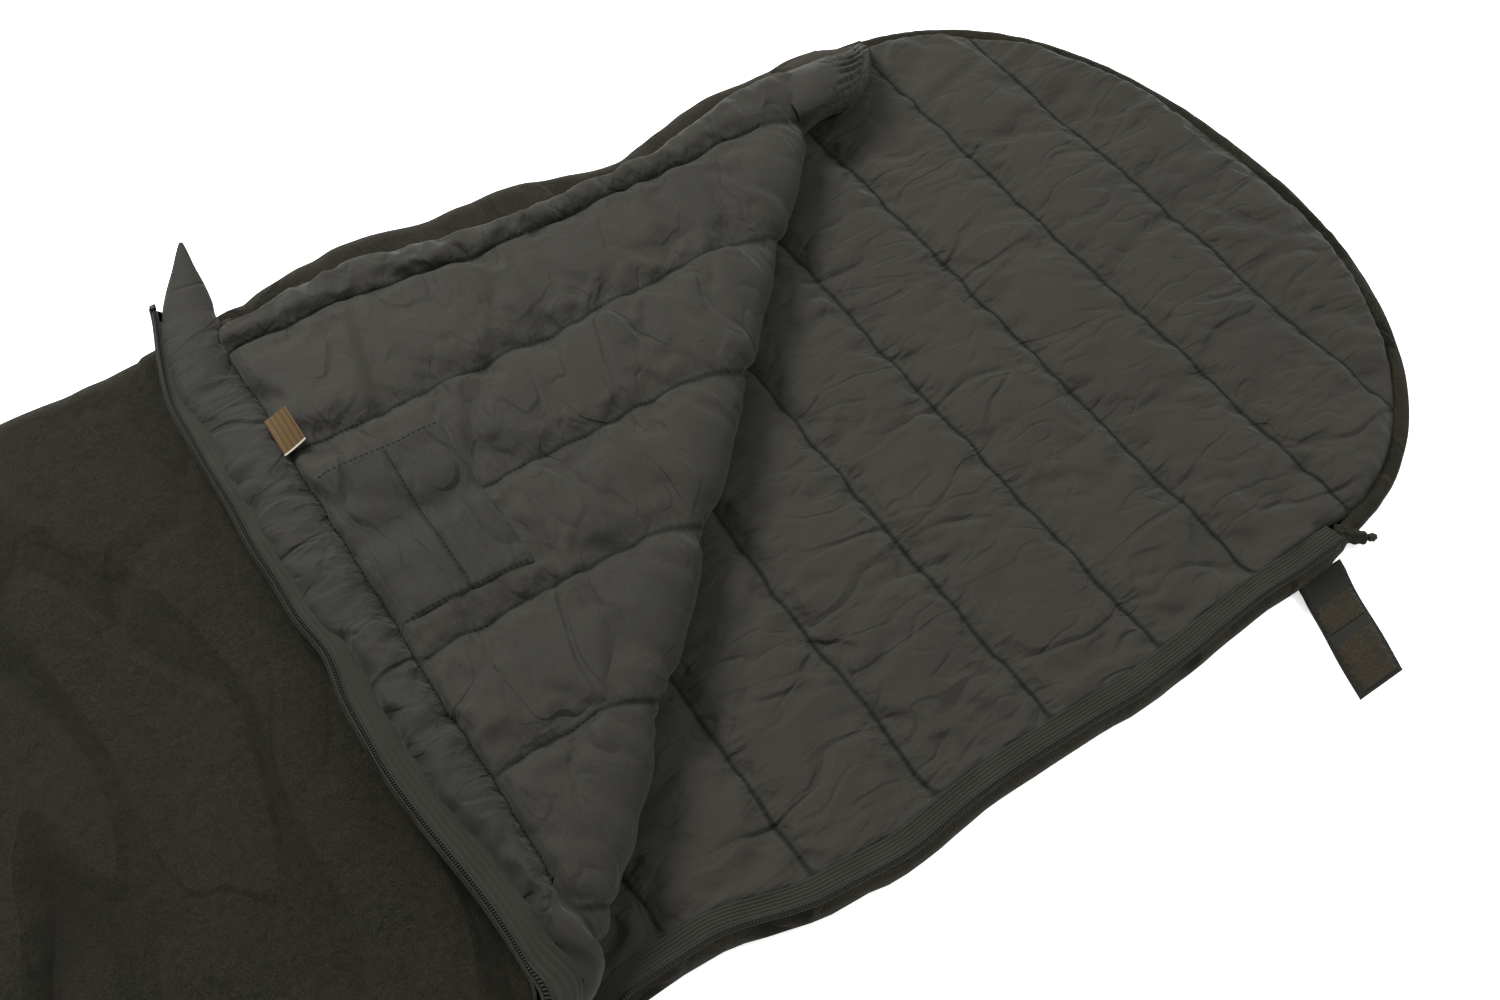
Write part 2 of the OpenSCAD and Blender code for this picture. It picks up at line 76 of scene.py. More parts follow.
ROOT2 = math.sqrt(2.0)
HALF_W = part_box("base_shell")[1].x
FOOT_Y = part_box("base_shell")[0].y
CROWN_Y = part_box("hood_shell")[1].y
PAD_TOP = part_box("base_lining")[1].z
COVER_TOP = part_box("cover_shell")[1].z
FOLD_SUM = sum(joint_place("cover_fold")[:2])
HINGE_Z = joint_place("cover_fold")[2]
NECK_Y = joint_place("hood_lift")[1]
ZIP_X = (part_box("base_zip_coil")[0].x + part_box("base_zip_coil")[1].x) / 2
COIL_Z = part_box("base_zip_coil")[0].z
ZIP_FOOT_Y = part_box("base_zip_coil")[0].y
ZIP_TOP_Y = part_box("base_zip_coil")[1].y
TUBE_Y1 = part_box("draft_tube_cover")[1].y
STRAP_LOW, STRAP_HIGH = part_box("neck_strap")

CHANNEL = 0.142                      # quilt line spacing
FIRST_LINE = CROWN_Y - 0.164         # the base's first quilt line
COVER_SHIFT = 0.042                  # the cover's lines sit this much nearer the foot
CELLS = 20                           # cloth cells from one quilt line to the next
STEP = CHANNEL / CELLS
VALLEY = 0.0205                      # height of a lining at a quilt line
CROWN = 0.0318                       # height between quilt lines, before it is puffed
FOOT_R = 0.090
COVER_SEAM_Z, COVER_ZIP_Z = 0.037, 0.0485      # where the cover's shell starts: far side, zip side
FLAP_SEAM_Z = 0.0625                 # where the folded-back part's shell starts, away from the zip
LIP_OUT, LIP_OUT_Z = 0.0036, 0.0440  # edge rolled in at the zip: past the zip's middle, and height
LIP_IN, LIP_IN_Z = 0.0024, 0.0438
TAPE_W, TAPE_T = 0.0062, 0.0024      # zip tape
COIL_H = 0.0036                      # height of the zip chain
NEAR_SEAM_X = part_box("base_lining")[1].x + 0.001
TUBE_IN_X = FOLD_SUM - TUBE_Y1       # draft tube's inner seam on the zipped-up cover
TUBE_OUT_X = TUBE_IN_X + 7 * STEP    # and its outer seam
HOOD_NEAR_IN = 0.023                 # the hood is this much narrower at the zip side
HOOD_NEAR_DRAW = 0.008               # and the opening draws in by this part of it before the neck
HOOD_FAR_POWER, HOOD_NEAR_POWER = 2.3, 2.04   # how square the hood's two shoulders are
BEND_CELLS = 7
BEND = BEND_CELLS * STEP / ROOT2              # half the cover's width that goes into the soft fold
BEND_ROUND = 0.012                            # how gently the fold turns
COLLAR_Y = FIRST_LINE - COVER_SHIFT - 2 * CHANNEL
HEM_END_Y = NECK_Y - 0.076
COLLAR_END_X = -HALF_W + 0.065                # where the neck tube starts down over the fold


# ---- Small helpers --------------------------------------------------------------------


def smooth(a, b, v):
    """0 before a, 1 after b, easing between them."""
    t = np.clip((np.asarray(v, float) - a) / (b - a), 0, 1)
    return t * t * (3 - 2 * t)


def bump(at, spread, v):
    return np.exp(-(((np.asarray(v, float) - at) / spread) ** 2))


def noise(x, y, size, seed):
    """Smooth random field between about -1 and 1, with bumps about size apart."""
    table = np.random.default_rng(seed).uniform(-1, 1, (128, 128))
    gx, gy = np.asarray(x, float) / size + 37, np.asarray(y, float) / size + 53
    ix, iy = np.floor(gx).astype(int), np.floor(gy).astype(int)
    fx, fy = gx - ix, gy - iy
    fx, fy = fx * fx * (3 - 2 * fx), fy * fy * (3 - 2 * fy)

    def at(i, j):
        return table[(ix + i) % 128, (iy + j) % 128]

    low = at(0, 0) * (1 - fx) + at(1, 0) * fx
    high = at(0, 1) * (1 - fx) + at(1, 1) * fx
    return low * (1 - fy) + high * fy


def add_object(name, data):
    obj = bpy.data.objects.new(name, data)
    bpy.context.scene.collection.objects.link(obj)
    return obj


def mesh_object(name, points, faces, material, attributes=None, levels=0):
    """A smooth-shaded mesh in the row frame, with its doubles merged and loose bits removed."""
    mesh = bpy.data.meshes.new(name)
    mesh.from_pydata(np.asarray(points, float).tolist(), [], [list(map(int, f)) for f in faces])
    for key, values in (attributes or {}).items():
        layer = mesh.attributes.new(key, "FLOAT", "POINT")
        layer.data.foreach_set("value", np.asarray(values, np.float32).ravel())
    bm = bmesh.new()
    bm.from_mesh(mesh)
    bmesh.ops.remove_doubles(bm, verts=bm.verts, dist=2e-5)
    loose = [v for v in bm.verts if not v.link_faces]
    bmesh.ops.delete(bm, geom=loose, context="VERTS")
    bmesh.ops.recalc_face_normals(bm, faces=bm.faces)
    bm.to_mesh(mesh)
    bm.free()
    mesh.shade_smooth()
    obj = add_object(name, mesh)
    mesh.materials.append(material)
    if levels:
        sub = obj.modifiers.new("subdivide", "SUBSURF")
        sub.levels = sub.render_levels = levels
    return obj


def settle(obj, slot, *nodes, body=None, bend=None):
    """Attaches a finished piece to its body and hides the CAD nodes it stands for; given a bend, it only
    bakes the piece's transform. The slot is not used.
    """
    if body:
        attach(obj, body)
    if bend:
        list(bend)
        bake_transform(obj)
    if nodes:
        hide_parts(*nodes)


def thicken(obj, thickness):
    thick = obj.modifiers.new("thickness", "SOLIDIFY")
    thick.thickness = thickness


def grid(us, vs):
    return np.meshgrid(us, vs, indexing="ij")


def grid_faces(rows, cols, closed=False):
    """Quads over a rows x cols array of points; closed joins the last column to the first."""
    faces = []
    for r in range(rows - 1):
        for c in range(cols if closed else cols - 1):
            d = (c + 1) % cols
            faces.append((r * cols + c, (r + 1) * cols + c, (r + 1) * cols + d, r * cols + d))
    return faces


def sweep(name, rings, material, closed_ring=False, caps=False, **more):
    """Skins a list of equal rings of points."""
    rings = np.asarray(rings, float)
    rows, cols = rings.shape[:2]
    faces = grid_faces(rows, cols, closed_ring)
    if caps:
        faces.append(tuple(range(cols)))
        faces.append(tuple(range((rows - 1) * cols, rows * cols)))
    return mesh_object(name, rings.reshape(-1, 3), faces, material, **more)


def curve(points, t):
    """A smooth curve through equally spaced points (numbers or arrays), at each t from 0 to 1."""
    p = np.asarray(points, float)
    s = np.atleast_1d(t) * (len(p) - 1)
    k = np.clip(np.floor(s).astype(int), 0, len(p) - 2)
    f = (s - k).reshape(-1, *[1] * (p.ndim - 1))
    a, b, c, d = p[np.maximum(k - 1, 0)], p[k], p[k + 1], p[np.minimum(k + 2, len(p) - 1)]
    return 0.5 * (2 * b + (c - a) * f + (2 * a - 5 * b + 4 * c - d) * f**2 + (3 * b - a - 3 * c + d) * f**3)


def over_fold(x, y, depth):
    """Where a point of the cover rests, drawn zipped up at (x, y), depth below the hinge line."""
    x, y, depth = np.broadcast_arrays(np.asarray(x, float), y, depth)
    s = (x + y - FOLD_SUM) / ROOT2
    t = (y - x) / ROOT2
    turn = np.pi * smooth(-BEND, BEND, s)
    d = FOLD_SUM / ROOT2 - np.sqrt(s * s + BEND_ROUND**2) + depth * np.sin(turn)
    z = HINGE_Z - depth * np.cos(turn)
    return np.stack([(d - t) / ROOT2, (d + t) / ROOT2, z], -1)


def folded_flat(x, y, z):
    """Half turn about the hinge line, for pieces that stay clear of the soft bend."""
    x, y, z = np.broadcast_arrays(np.asarray(x, float), y, z)
    return np.stack([FOLD_SUM - y, FOLD_SUM - x, 2 * HINGE_Z - z], -1)


def creases(x, y, seed, size=0.085, depth=0.0042):
    """Creases that run across the channels, fading in and out: a height to add."""
    line = noise(x + 0.25 * y, 0.30 * y, size, seed)
    sharp = np.exp(-((line / 0.18) ** 2)) - 0.45 * np.exp(-(((line - 0.42) / 0.20) ** 2))
    present = smooth(-0.35, 0.35, noise(x, y, 0.095, seed + 1))
    return -depth * sharp * present


def far_half(y):
    """Half-width of the bag on its far side, which lies in slow waves."""
    y = np.asarray(y, float)
    slow = 0.014 * smooth(0.62, 0.80, y) - 0.036 * bump(0.37, 0.085, y) + 0.024 * bump(0.02, 0.10, y)
    foot = -0.016 * smooth(-0.15, -0.28, y) * (1 - smooth(-0.55, -0.80, y))
    small = 0.0035 * noise(y, 0 * y, 0.060, 23) + 0.0016 * noise(y, 0 * y, 0.024, 24)
    small = small * smooth(FOOT_Y + 0.1, FOOT_Y + 0.3, y) * (1 - 0.6 * smooth(0.75, 0.85, y))
    return HALF_W + slow + foot + small


def near_shift(y):
    """How far the open zip side strays outwards from a straight line."""
    y = np.asarray(y, float)
    pulled = -0.026 * smooth(0.06, -0.06, y) * (1 - smooth(-0.13, -0.20, y))
    slow = 0.010 * bump(0.14, 0.065, y) + 0.005 * bump(0.42, 0.07, y) - HOOD_NEAR_DRAW * smooth(0.50, 0.64, y)
    small = 0.0012 * noise(y, 0 * y, 0.055, 25) * smooth(-0.20, -0.10, y)
    return pulled + slow * smooth(-0.20, -0.05, y) + small


def zip_shift(y):
    """The same for the folded-back side, along its zipped-up length."""
    y = np.asarray(y, float)
    low = -0.022 * smooth(0.10, -0.14, y) * smooth(-0.215, -0.16, y) - 0.008 * bump(0.21, 0.04, y)
    return low - 0.036 * smooth(0.56, 0.73, y) + 0.0012 * noise(y, 0 * y, 0.06, 26)


def tube_edge(y):
    """Outer side of the draft tube on the zipped-up cover: it hides the facing but for its low end."""
    return ZIP_X + zip_shift(y) - 0.005 - 0.020 * smooth(0.27, 0.16, y)


# ---- Materials ------------------------------------------------------------------------


def opaque(colour):
    """A colour given as red, green and blue, with its alpha; a socket stays as it is."""
    return (*colour, 1.0) if isinstance(colour, tuple) and len(colour) == 3 else colour


class Nodes:
    """A short way to write a node material."""

    def __init__(self, name):
        self.material = bpy.data.materials.new(name)
        self.material.use_nodes = True
        self.tree = self.material.node_tree
        self.shader = self.tree.nodes["Principled BSDF"]
        self.place = self.add("ShaderNodeTexCoord").outputs["Object"]

    def add(self, kind, sockets=None, **values):
        """A new node with its values set, and something put into each named socket."""
        node = self.tree.nodes.new(kind)
        for key, value in values.items():
            setattr(node, key, value)
        for name, value in (sockets or {}).items():
            self.put(value, node.inputs[name])
        return node

    def put(self, value, socket):
        if isinstance(value, bpy.types.NodeSocket):
            self.tree.links.new(value, socket)
        else:
            socket.default_value = value

    def math(self, operation, a, b=0.0):
        return self.add("ShaderNodeMath", {0: a, 1: b}, operation=operation).outputs[0]

    def noise(self, scale, detail=2.0, rough=0.5, vector=None):
        sockets = {"Vector": vector or self.place, "Scale": scale, "Detail": detail, "Roughness": rough}
        return self.add("ShaderNodeTexNoise", sockets).outputs["Fac"]

    def stretched(self, x, y, z):
        sockets = {"Vector": self.place, "Scale": (x, y, z)}
        return self.add("ShaderNodeMapping", sockets).outputs["Vector"]

    def waves(self, scale, direction, vector=None):
        sockets = {"Vector": vector or self.place, "Scale": scale}
        return self.add("ShaderNodeTexWave", sockets, bands_direction=direction).outputs["Fac"]

    def ramp(self, fac, low, high):
        """Maps a value from low..high to 0..1."""
        sockets = {"Value": fac, "From Min": low, "From Max": high}
        return self.add("ShaderNodeMapRange", sockets).outputs["Result"]

    def mix(self, fac, a, b):
        sockets = {"Factor": fac, "A": opaque(a), "B": opaque(b)}
        return self.add("ShaderNodeMix", sockets, data_type="RGBA").outputs["Result"]

    def over(self, tone, mask, amount, colour):
        """Lays a colour over tone where mask is high."""
        return self.mix(self.math("MULTIPLY", mask, amount), tone, colour)

    def creased(self, heading, size, seed, length=2.6):
        """Creases that fade in and out, running along heading (degrees from the x axis)."""
        turn = (0.0, 0.0, math.radians(heading - 90))
        sockets = {"Vector": self.place, "Location": (seed * 1.7, seed * 2.3, 0.0),
                   "Rotation": turn, "Scale": (1.0, length, 1.0)}
        vector = self.add("ShaderNodeMapping", sockets, vector_type="TEXTURE").outputs["Vector"]
        line = self.math("ABSOLUTE", self.math("SUBTRACT", self.noise(1 / size, 1.5, 0.4, vector), 0.5))
        shown = self.ramp(self.noise(0.6 / size, 1.0, 0.5, vector), 0.62, 0.40)
        return self.math("MAXIMUM", self.ramp(line, 0.0, 0.055), shown)

    def attribute(self, name):
        return self.add("ShaderNodeAttribute", attribute_name=name).outputs["Fac"]

    def bump(self, height, strength, distance):
        sockets = {"Strength": strength, "Distance": distance, "Height": height}
        node = self.add("ShaderNodeBump", sockets)
        previous = self.shader.inputs["Normal"]
        if previous.is_linked:
            self.put(previous.links[0].from_socket, node.inputs["Normal"])
        self.put(node.outputs["Normal"], previous)

    def finish(self, colour, roughness, sheen=0.0, metallic=0.0, sheen_tint=(1, 1, 1), specular=0.12):
        sockets = {"Base Color": opaque(colour), "Roughness": roughness, "Sheen Weight": sheen,
                   "Sheen Roughness": 0.5, "Sheen Tint": (*sheen_tint, 1.0), "Metallic": metallic,
                   "Specular IOR Level": specular}
        for name, value in sockets.items():
            self.put(value, self.shader.inputs[name])
        return self.material


def shade(colour, factor):
    return tuple(c * factor for c in colour)


LINING = (0.0207, 0.0197, 0.0155)
SHELL = (0.0088, 0.0088, 0.0064)
TRIM = (0.0170, 0.0165, 0.0122)


def lining_fabric(name, colour=LINING, heading=90):
    """Soft plain-weave lining: fine threads, creases and gathers, and painted shade darkening the dip along
    each seam.
    """
    n = Nodes(name)
    weft = n.waves(420, "X")
    warp = n.waves(380, "Y")
    weave = n.math("MULTIPLY", weft, warp)
    cloud = n.noise(9.0, 3.0)
    slub = n.noise(60.0, 4.0, 0.65, n.stretched(1.0, 5.0, 1.0))
    tone = n.mix(n.ramp(cloud, 0.3, 0.7), shade(colour, 0.90), shade(colour, 1.10))
    tone = n.over(tone, n.ramp(slub, 0.35, 0.75), 0.25, shade(colour, 1.30))
    tone = n.over(tone, weave, 0.18, shade(colour, 0.6))
    grain = n.ramp(n.noise(260.0, 3.0, 0.7), 0.40, 0.62)
    tone = n.over(tone, grain, 0.22, shade(colour, 0.55))
    seam = n.attribute("seam")
    # painted shade: within a few millimetres of a quilt seam, hem or rim the colour goes nearly black,
    # standing in for the shade in the valley
    tone = n.over(tone, n.ramp(seam, 0.0046, 0.0010), 0.90, (0.0030, 0.0030, 0.0025))
    n.bump(weave, 0.30, 0.0006)
    stretch = (1.0, 0.20, 1.0) if heading == 90 else (0.20, 1.0, 1.0)
    gathers = n.noise(85.0, 2.0, 0.55, n.stretched(*stretch))
    n.bump(n.math("MULTIPLY", gathers, n.ramp(seam, 0.034, 0.003)), 0.9, 0.0060)
    n.bump(n.creased(heading, 0.060, 3.0), 0.75, 0.0050)
    n.bump(n.creased(heading, 0.032, 7.0), 0.55, 0.0026)
    n.bump(n.noise(45.0, 3.0, 0.55), 0.30, 0.0050)
    return n.finish(tone, n.math("ADD", n.math("MULTIPLY", cloud, 0.12), 0.66), 0.06,
                    sheen_tint=(0.9, 0.9, 0.85))


def shell_fabric(name, colour=SHELL):
    """Brushed outer fabric: short pile, mottled in light and dark tufts, warm in its wear, with painted shade
    along its drape folds.
    """
    n = Nodes(name)
    tuft = n.noise(560.0, 5.0, 0.8)
    mottle = n.noise(110.0, 5.0, 0.75)
    patch = n.noise(7.0, 4.0, 0.65)
    tone = n.mix(n.ramp(tuft, 0.40, 0.62), shade(colour, 0.30), shade(colour, 1.85))
    tone = n.over(tone, n.ramp(mottle, 0.44, 0.66), 0.22, (0.028, 0.026, 0.016))
    tone = n.over(tone, n.ramp(patch, 0.40, 0.72), 0.22, (0.020, 0.017, 0.010))
    folds = n.creased(-3, 0.150, 5.0, 3.4)
    # painted shade: the drape fold lines are darkened in the colour as well as bumped
    tone = n.over(tone, n.math("SUBTRACT", 1.0, folds), 0.65, shade(colour, 0.30))
    n.bump(tuft, 0.9, 0.0018)
    n.bump(mottle, 0.6, 0.0030)
    n.bump(n.noise(16.0, 3.0, 0.6), 0.35, 0.012)
    n.bump(folds, 0.9, 0.0130)
    n.bump(n.creased(-7, 0.070, 9.0, 3.0), 0.5, 0.0040)
    return n.finish(tone, 0.95, 0.10, sheen_tint=(0.55, 0.50, 0.38), specular=0.06)


def ribbed_fabric(name, colour=TRIM, rows=520.0, direction="X"):
    """Densely stitched tape with fine rows."""
    n = Nodes(name)
    rib = n.waves(rows, direction)
    thread = n.noise(500.0, 2.0)
    tone = n.mix(rib, shade(colour, 0.42), shade(colour, 1.5))
    tone = n.over(tone, n.ramp(n.noise(30.0, 3.0), 0.4, 0.7), 0.3, shade(colour, 1.7))
    n.bump(rib, 0.5, 0.0008)
    n.bump(thread, 0.3, 0.0008)
    return n.finish(tone, 0.82, 0.05)


def thread_material():
    n = Nodes("stitch_thread")
    twist = n.waves(900, "DIAGONAL")
    n.bump(twist, 0.5, 0.0003)
    return n.finish(n.mix(twist, (0.006, 0.006, 0.005), (0.013, 0.012, 0.010)), 0.6)


def coil_plastic():
    n = Nodes("zip_coil_plastic")
    worn = n.noise(200.0, 3.0)
    n.bump(worn, 0.2, 0.0004)
    return n.finish(n.mix(worn, (0.0035, 0.0035, 0.003), (0.008, 0.008, 0.007)), 0.5, specular=0.2)


def dark_metal():
    n = Nodes("dark_lacquered_metal")
    worn = n.ramp(n.noise(140.0, 5.0, 0.7), 0.55, 0.75)
    scratches = n.noise(300.0, 2.0, 0.5, n.stretched(1, 8, 1))
    n.bump(scratches, 0.15, 0.0003)
    return n.finish(n.mix(n.math("MULTIPLY", worn, 0.5), (0.020, 0.020, 0.019), (0.12, 0.115, 0.10)),
                    n.math("ADD", n.math("MULTIPLY", scratches, 0.2), 0.30), metallic=0.7, specular=0.5)


def steel_wire():
    n = Nodes("drawn_steel_wire")
    drawn = n.noise(400.0, 2.0, 0.5, n.stretched(1, 1, 6))
    n.bump(drawn, 0.2, 0.0002)
    return n.finish(n.mix(drawn, (0.38, 0.38, 0.38), (0.55, 0.55, 0.54)), 0.3, metallic=1.0, specular=0.5)


def lock_plastic():
    n = Nodes("moulded_lock_plastic")
    grain = n.noise(600.0, 2.0)
    n.bump(grain, 0.25, 0.0003)
    return n.finish(n.mix(grain, (0.012, 0.012, 0.011), (0.020, 0.020, 0.018)), 0.55, specular=0.4)


def braided_cord():
    n = Nodes("braided_cord")
    braid = n.math("MULTIPLY", n.waves(260, "DIAGONAL"), n.waves(260, "Y", n.stretched(-1, 1, 1)))
    n.bump(braid, 0.7, 0.0006)
    return n.finish(n.mix(braid, (0.010, 0.010, 0.008), (0.026, 0.025, 0.019)), 0.75, 0.05)


def hook_pile():
    """Hook-and-loop field: brownish, matted pile with worn dark spots."""
    n = Nodes("hook_and_loop_pile")
    hooks = n.noise(420.0, 4.0, 0.7)
    worn = n.noise(45.0, 4.0, 0.7)
    rows = n.waves(300, "X")
    tone = n.mix(n.ramp(hooks, 0.35, 0.65), (0.010, 0.008, 0.0045), (0.030, 0.023, 0.012))
    tone = n.over(tone, n.ramp(worn, 0.48, 0.62), 0.55, (0.010, 0.0095, 0.0065))
    n.bump(hooks, 1.0, 0.0016)
    n.bump(rows, 0.4, 0.0008)
    return n.finish(tone, 0.9, 0.08)


def label_fabric():
    """Woven satin label: tan, with pale turned edges and faint woven bars."""
    n = Nodes("woven_label")
    ribs = n.waves(700, "X")
    edge = n.ramp(n.attribute("seam"), 0.0022, 0.0012)
    bars = n.ramp(n.waves(55, "Y"), 0.62, 0.80)
    tone = n.mix(ribs, (0.048, 0.027, 0.006), (0.080, 0.045, 0.011))
    tone = n.over(tone, bars, 0.60, (0.024, 0.015, 0.006))
    tone = n.mix(edge, tone, (0.45, 0.42, 0.34, 1.0))
    n.bump(ribs, 0.3, 0.0003)
    return n.finish(tone, 0.5, 0.05)


def floor_material():
    n = Nodes("pale_floor")
    grain = n.noise(3.0, 2.0)
    n.shader.inputs["Emission Color"].default_value = (1.0, 1.0, 1.0, 1.0)
    n.shader.inputs["Emission Strength"].default_value = 0.45
    return n.finish(n.mix(grain, (0.90, 0.90, 0.90), (0.93, 0.93, 0.93)), 0.8)


MAT = {
    "lining": lining_fabric("lining_weave"),
    # painted shade: the flap lining, neck tube, draft tube and pocket are darker copies of the one lining,
    # set for how dimly these parts are lit
    "lining_flap": lining_fabric("flap_lining_weave", shade(LINING, 0.92), 0),
    "collar": lining_fabric("neck_tube_weave", shade(LINING, 0.90), 0),
    "tube": lining_fabric("draft_tube_weave", shade(LINING, 0.78), 90),
    "pocket": lining_fabric("pocket_weave", shade(LINING, 0.78), 0),
    "shell": shell_fabric("brushed_shell"),
    "facing": ribbed_fabric("stitched_facing", rows=330.0),
    "facing_flap": ribbed_fabric("stitched_facing_flap", rows=330.0, direction="Y"),
    "web": ribbed_fabric("strap_webbing", shade(TRIM, 0.75), 420.0, "Y"),
    "thread": thread_material(),
    "coil": coil_plastic(),
    "metal": dark_metal(),
    "steel": steel_wire(),
    "lock": lock_plastic(),
    "cord": braided_cord(),
    "hook": hook_pile(),
    "label": label_fabric(),
}


# ---- Quilted panels: a grid of cloth, sewn down along its seams and puffed --------------


class Panel:
    """A square grid of cloth. keep says which cells it has, from their middles."""

    def __init__(self, x0, y0, nx, ny, keep):
        self.i, self.j = np.meshgrid(np.arange(nx), np.arange(ny), indexing="ij")
        self.x, self.y = x0 + self.i * STEP, y0 + self.j * STEP
        half = STEP / 2
        self.cells = keep(self.x[:-1, :-1] + half, self.y[:-1, :-1] + half)
        ids = self.i * ny + self.j
        quads = np.stack([ids[:-1, :-1], ids[1:, :-1], ids[1:, 1:], ids[:-1, 1:]], -1)
        self.quads = quads[self.cells]
        self.used = np.zeros(nx * ny, bool)
        self.used[np.unique(self.quads)] = True
        self.used = self.used.reshape(nx, ny)
        full = np.zeros((nx + 1, ny + 1), int)
        full[1:-1, 1:-1] = self.cells
        count = full[:-1, :-1] + full[1:, :-1] + full[:-1, 1:] + full[1:, 1:]
        self.rim = self.used & (count < 4)

    def snap(self, distance, where):
        """Moves rim points in the mask onto the outline, where distance(x, y) is zero."""
        mask = self.rim & where
        x, y = self.x[mask], self.y[mask]
        small = 1e-4
        for _ in range(4):
            d = distance(x, y)
            gx = (distance(x + small, y) - distance(x - small, y)) / (2 * small)
            gy = (distance(x, y + small) - distance(x, y - small)) / (2 * small)
            length = np.maximum(gx * gx + gy * gy, 1e-6)
            x, y = x - d * gx / length, y - d * gy / length
        self.x[mask], self.y[mask] = x, y


def puff(name, panel, x, y, z, pinned, grow, pressure, frames=22, ceiling=None):
    """Blender cloth: the pinned seams hold, and the slightly oversize cloth between them creases."""
    shape = x.shape
    start = np.stack([x, y, z], -1).reshape(-1, 3)
    order = np.flatnonzero(panel.used.ravel())
    number = np.full(panel.used.size, -1)
    number[order] = np.arange(len(order))
    mesh = bpy.data.meshes.new(name)
    mesh.from_pydata(start[order].tolist(), [], number[panel.quads].tolist())
    obj = add_object(name, mesh)
    group = obj.vertex_groups.new(name="sewn")
    group.add(np.flatnonzero(pinned.ravel()[order]).tolist(), 1.0, "REPLACE")
    cloth = obj.modifiers.new("cloth", "CLOTH")
    s = cloth.settings
    s.quality = 5
    s.mass = 0.05
    s.tension_stiffness = s.compression_stiffness = 15
    s.shear_stiffness = 5
    s.bending_stiffness = 0.5
    s.tension_damping = s.compression_damping = s.shear_damping = 5
    s.bending_damping = 0.5
    s.air_damping = 2
    s.vertex_group_mass = "sewn"
    s.shrink_min = -grow
    s.effector_weights.gravity = 0
    s.use_pressure = True
    s.uniform_pressure_force = pressure
    cloth.collision_settings.use_collision = False
    cloth.point_cache.frame_start, cloth.point_cache.frame_end = 1, frames
    for number_of_frame in range(1, frames + 1):
        bpy.context.scene.frame_set(number_of_frame)
    evaluated = obj.evaluated_get(bpy.context.evaluated_depsgraph_get())
    out = np.zeros(len(order) * 3)
    evaluated.data.vertices.foreach_get("co", out)
    bpy.data.objects.remove(obj)
    bpy.context.scene.frame_set(1)
    result = start.copy()
    moved = out.reshape(-1, 3) - start[order]
    length = np.linalg.norm(moved, axis=1, keepdims=True)
    most = 0.012
    moved *= np.minimum(1, most / np.maximum(length, 1e-9))
    result[order] += moved
    if ceiling is not None:
        over = result[:, 2] - ceiling
        result[:, 2] = np.where(over > 0, ceiling + 0.003 * np.tanh(over / 0.012), result[:, 2])
    result = result.reshape(*shape, 3)
    return result[..., 0], result[..., 1], result[..., 2]


def wander(x, y, amount, seed):
    """Small sideways shifts that keep a sewn line from being ruler-straight."""
    return amount * (0.7 * noise(x, y, 0.034, seed) + 0.3 * noise(x, y, 0.013, seed + 1))


def loft(phase, low=VALLEY, high=CROWN):
    """Height across a channel: phase 0 and 1 on its seams."""
    return low + (high - low) * (1 - (1 - np.sin(np.pi * phase)) ** 2.2)


def stitch_line(points, length=0.0042, gap=0.0016, radius=0.00048):
    """Short thread dashes along a line of points, as rings to be skinned."""
    points = np.asarray(points, float)
    run = np.concatenate([[0], np.cumsum(np.linalg.norm(np.diff(points, axis=0), axis=1))])
    starts = np.arange(gap, run[-1] - length, length + gap)
    samples = np.array([0.0, 0.15, 0.85, 1.0])
    swell = np.array([0.25, 1.0, 1.0, 0.25])
    dip = np.array([-0.0006, 0.0002, 0.0002, -0.0006])
    verts, faces = [], []
    for a in starts:
        at = a + samples * length
        centre = np.stack([np.interp(at, run, points[:, k]) for k in range(3)], -1)
        ahead = centre[-1] - centre[0]
        ahead /= max(np.linalg.norm(ahead), 1e-9)
        side = np.cross(ahead, (0, 0, 1))
        side /= max(np.linalg.norm(side), 1e-9)
        up = np.cross(side, ahead)
        base = len(verts)
        for c, r, lift in zip(centre, swell * radius, dip):
            for k in range(5):
                angle = 2 * np.pi * k / 5
                verts.append(c + side * (r * math.cos(angle)) + up * (r * math.sin(angle) + lift))
        faces += [tuple(base + v for v in f) for f in grid_faces(4, 5, True)]
        faces.append(tuple(base + k for k in range(5)))
        faces.append(tuple(base + 15 + k for k in range(5)))
    return verts, faces


def stitches(name, lines, lift=0.0):
    """One thread piece from several stitched lines, each an array of points in the row frame."""
    verts, faces = [], []
    for line in lines:
        v, f = stitch_line(np.asarray(line, float) + [0, 0, lift])
        faces += [tuple(len(verts) + k for k in face) for face in f]
        verts += v
    return mesh_object(name, verts, faces, MAT["thread"])


# ---- Base and hood lining ---------------------------------------------------------------

NECK_BEND = ("bag", "hood", (0, NECK_Y - 0.040, 0), (0, NECK_Y + 0.040, 0))


def near_half(y):
    """Half-width of the bag on the zip side: it draws in at the hood."""
    return HALF_W + near_shift(y) - (HOOD_NEAR_IN - HOOD_NEAR_DRAW) * smooth(NECK_Y - 0.035, NECK_Y + 0.03, y)


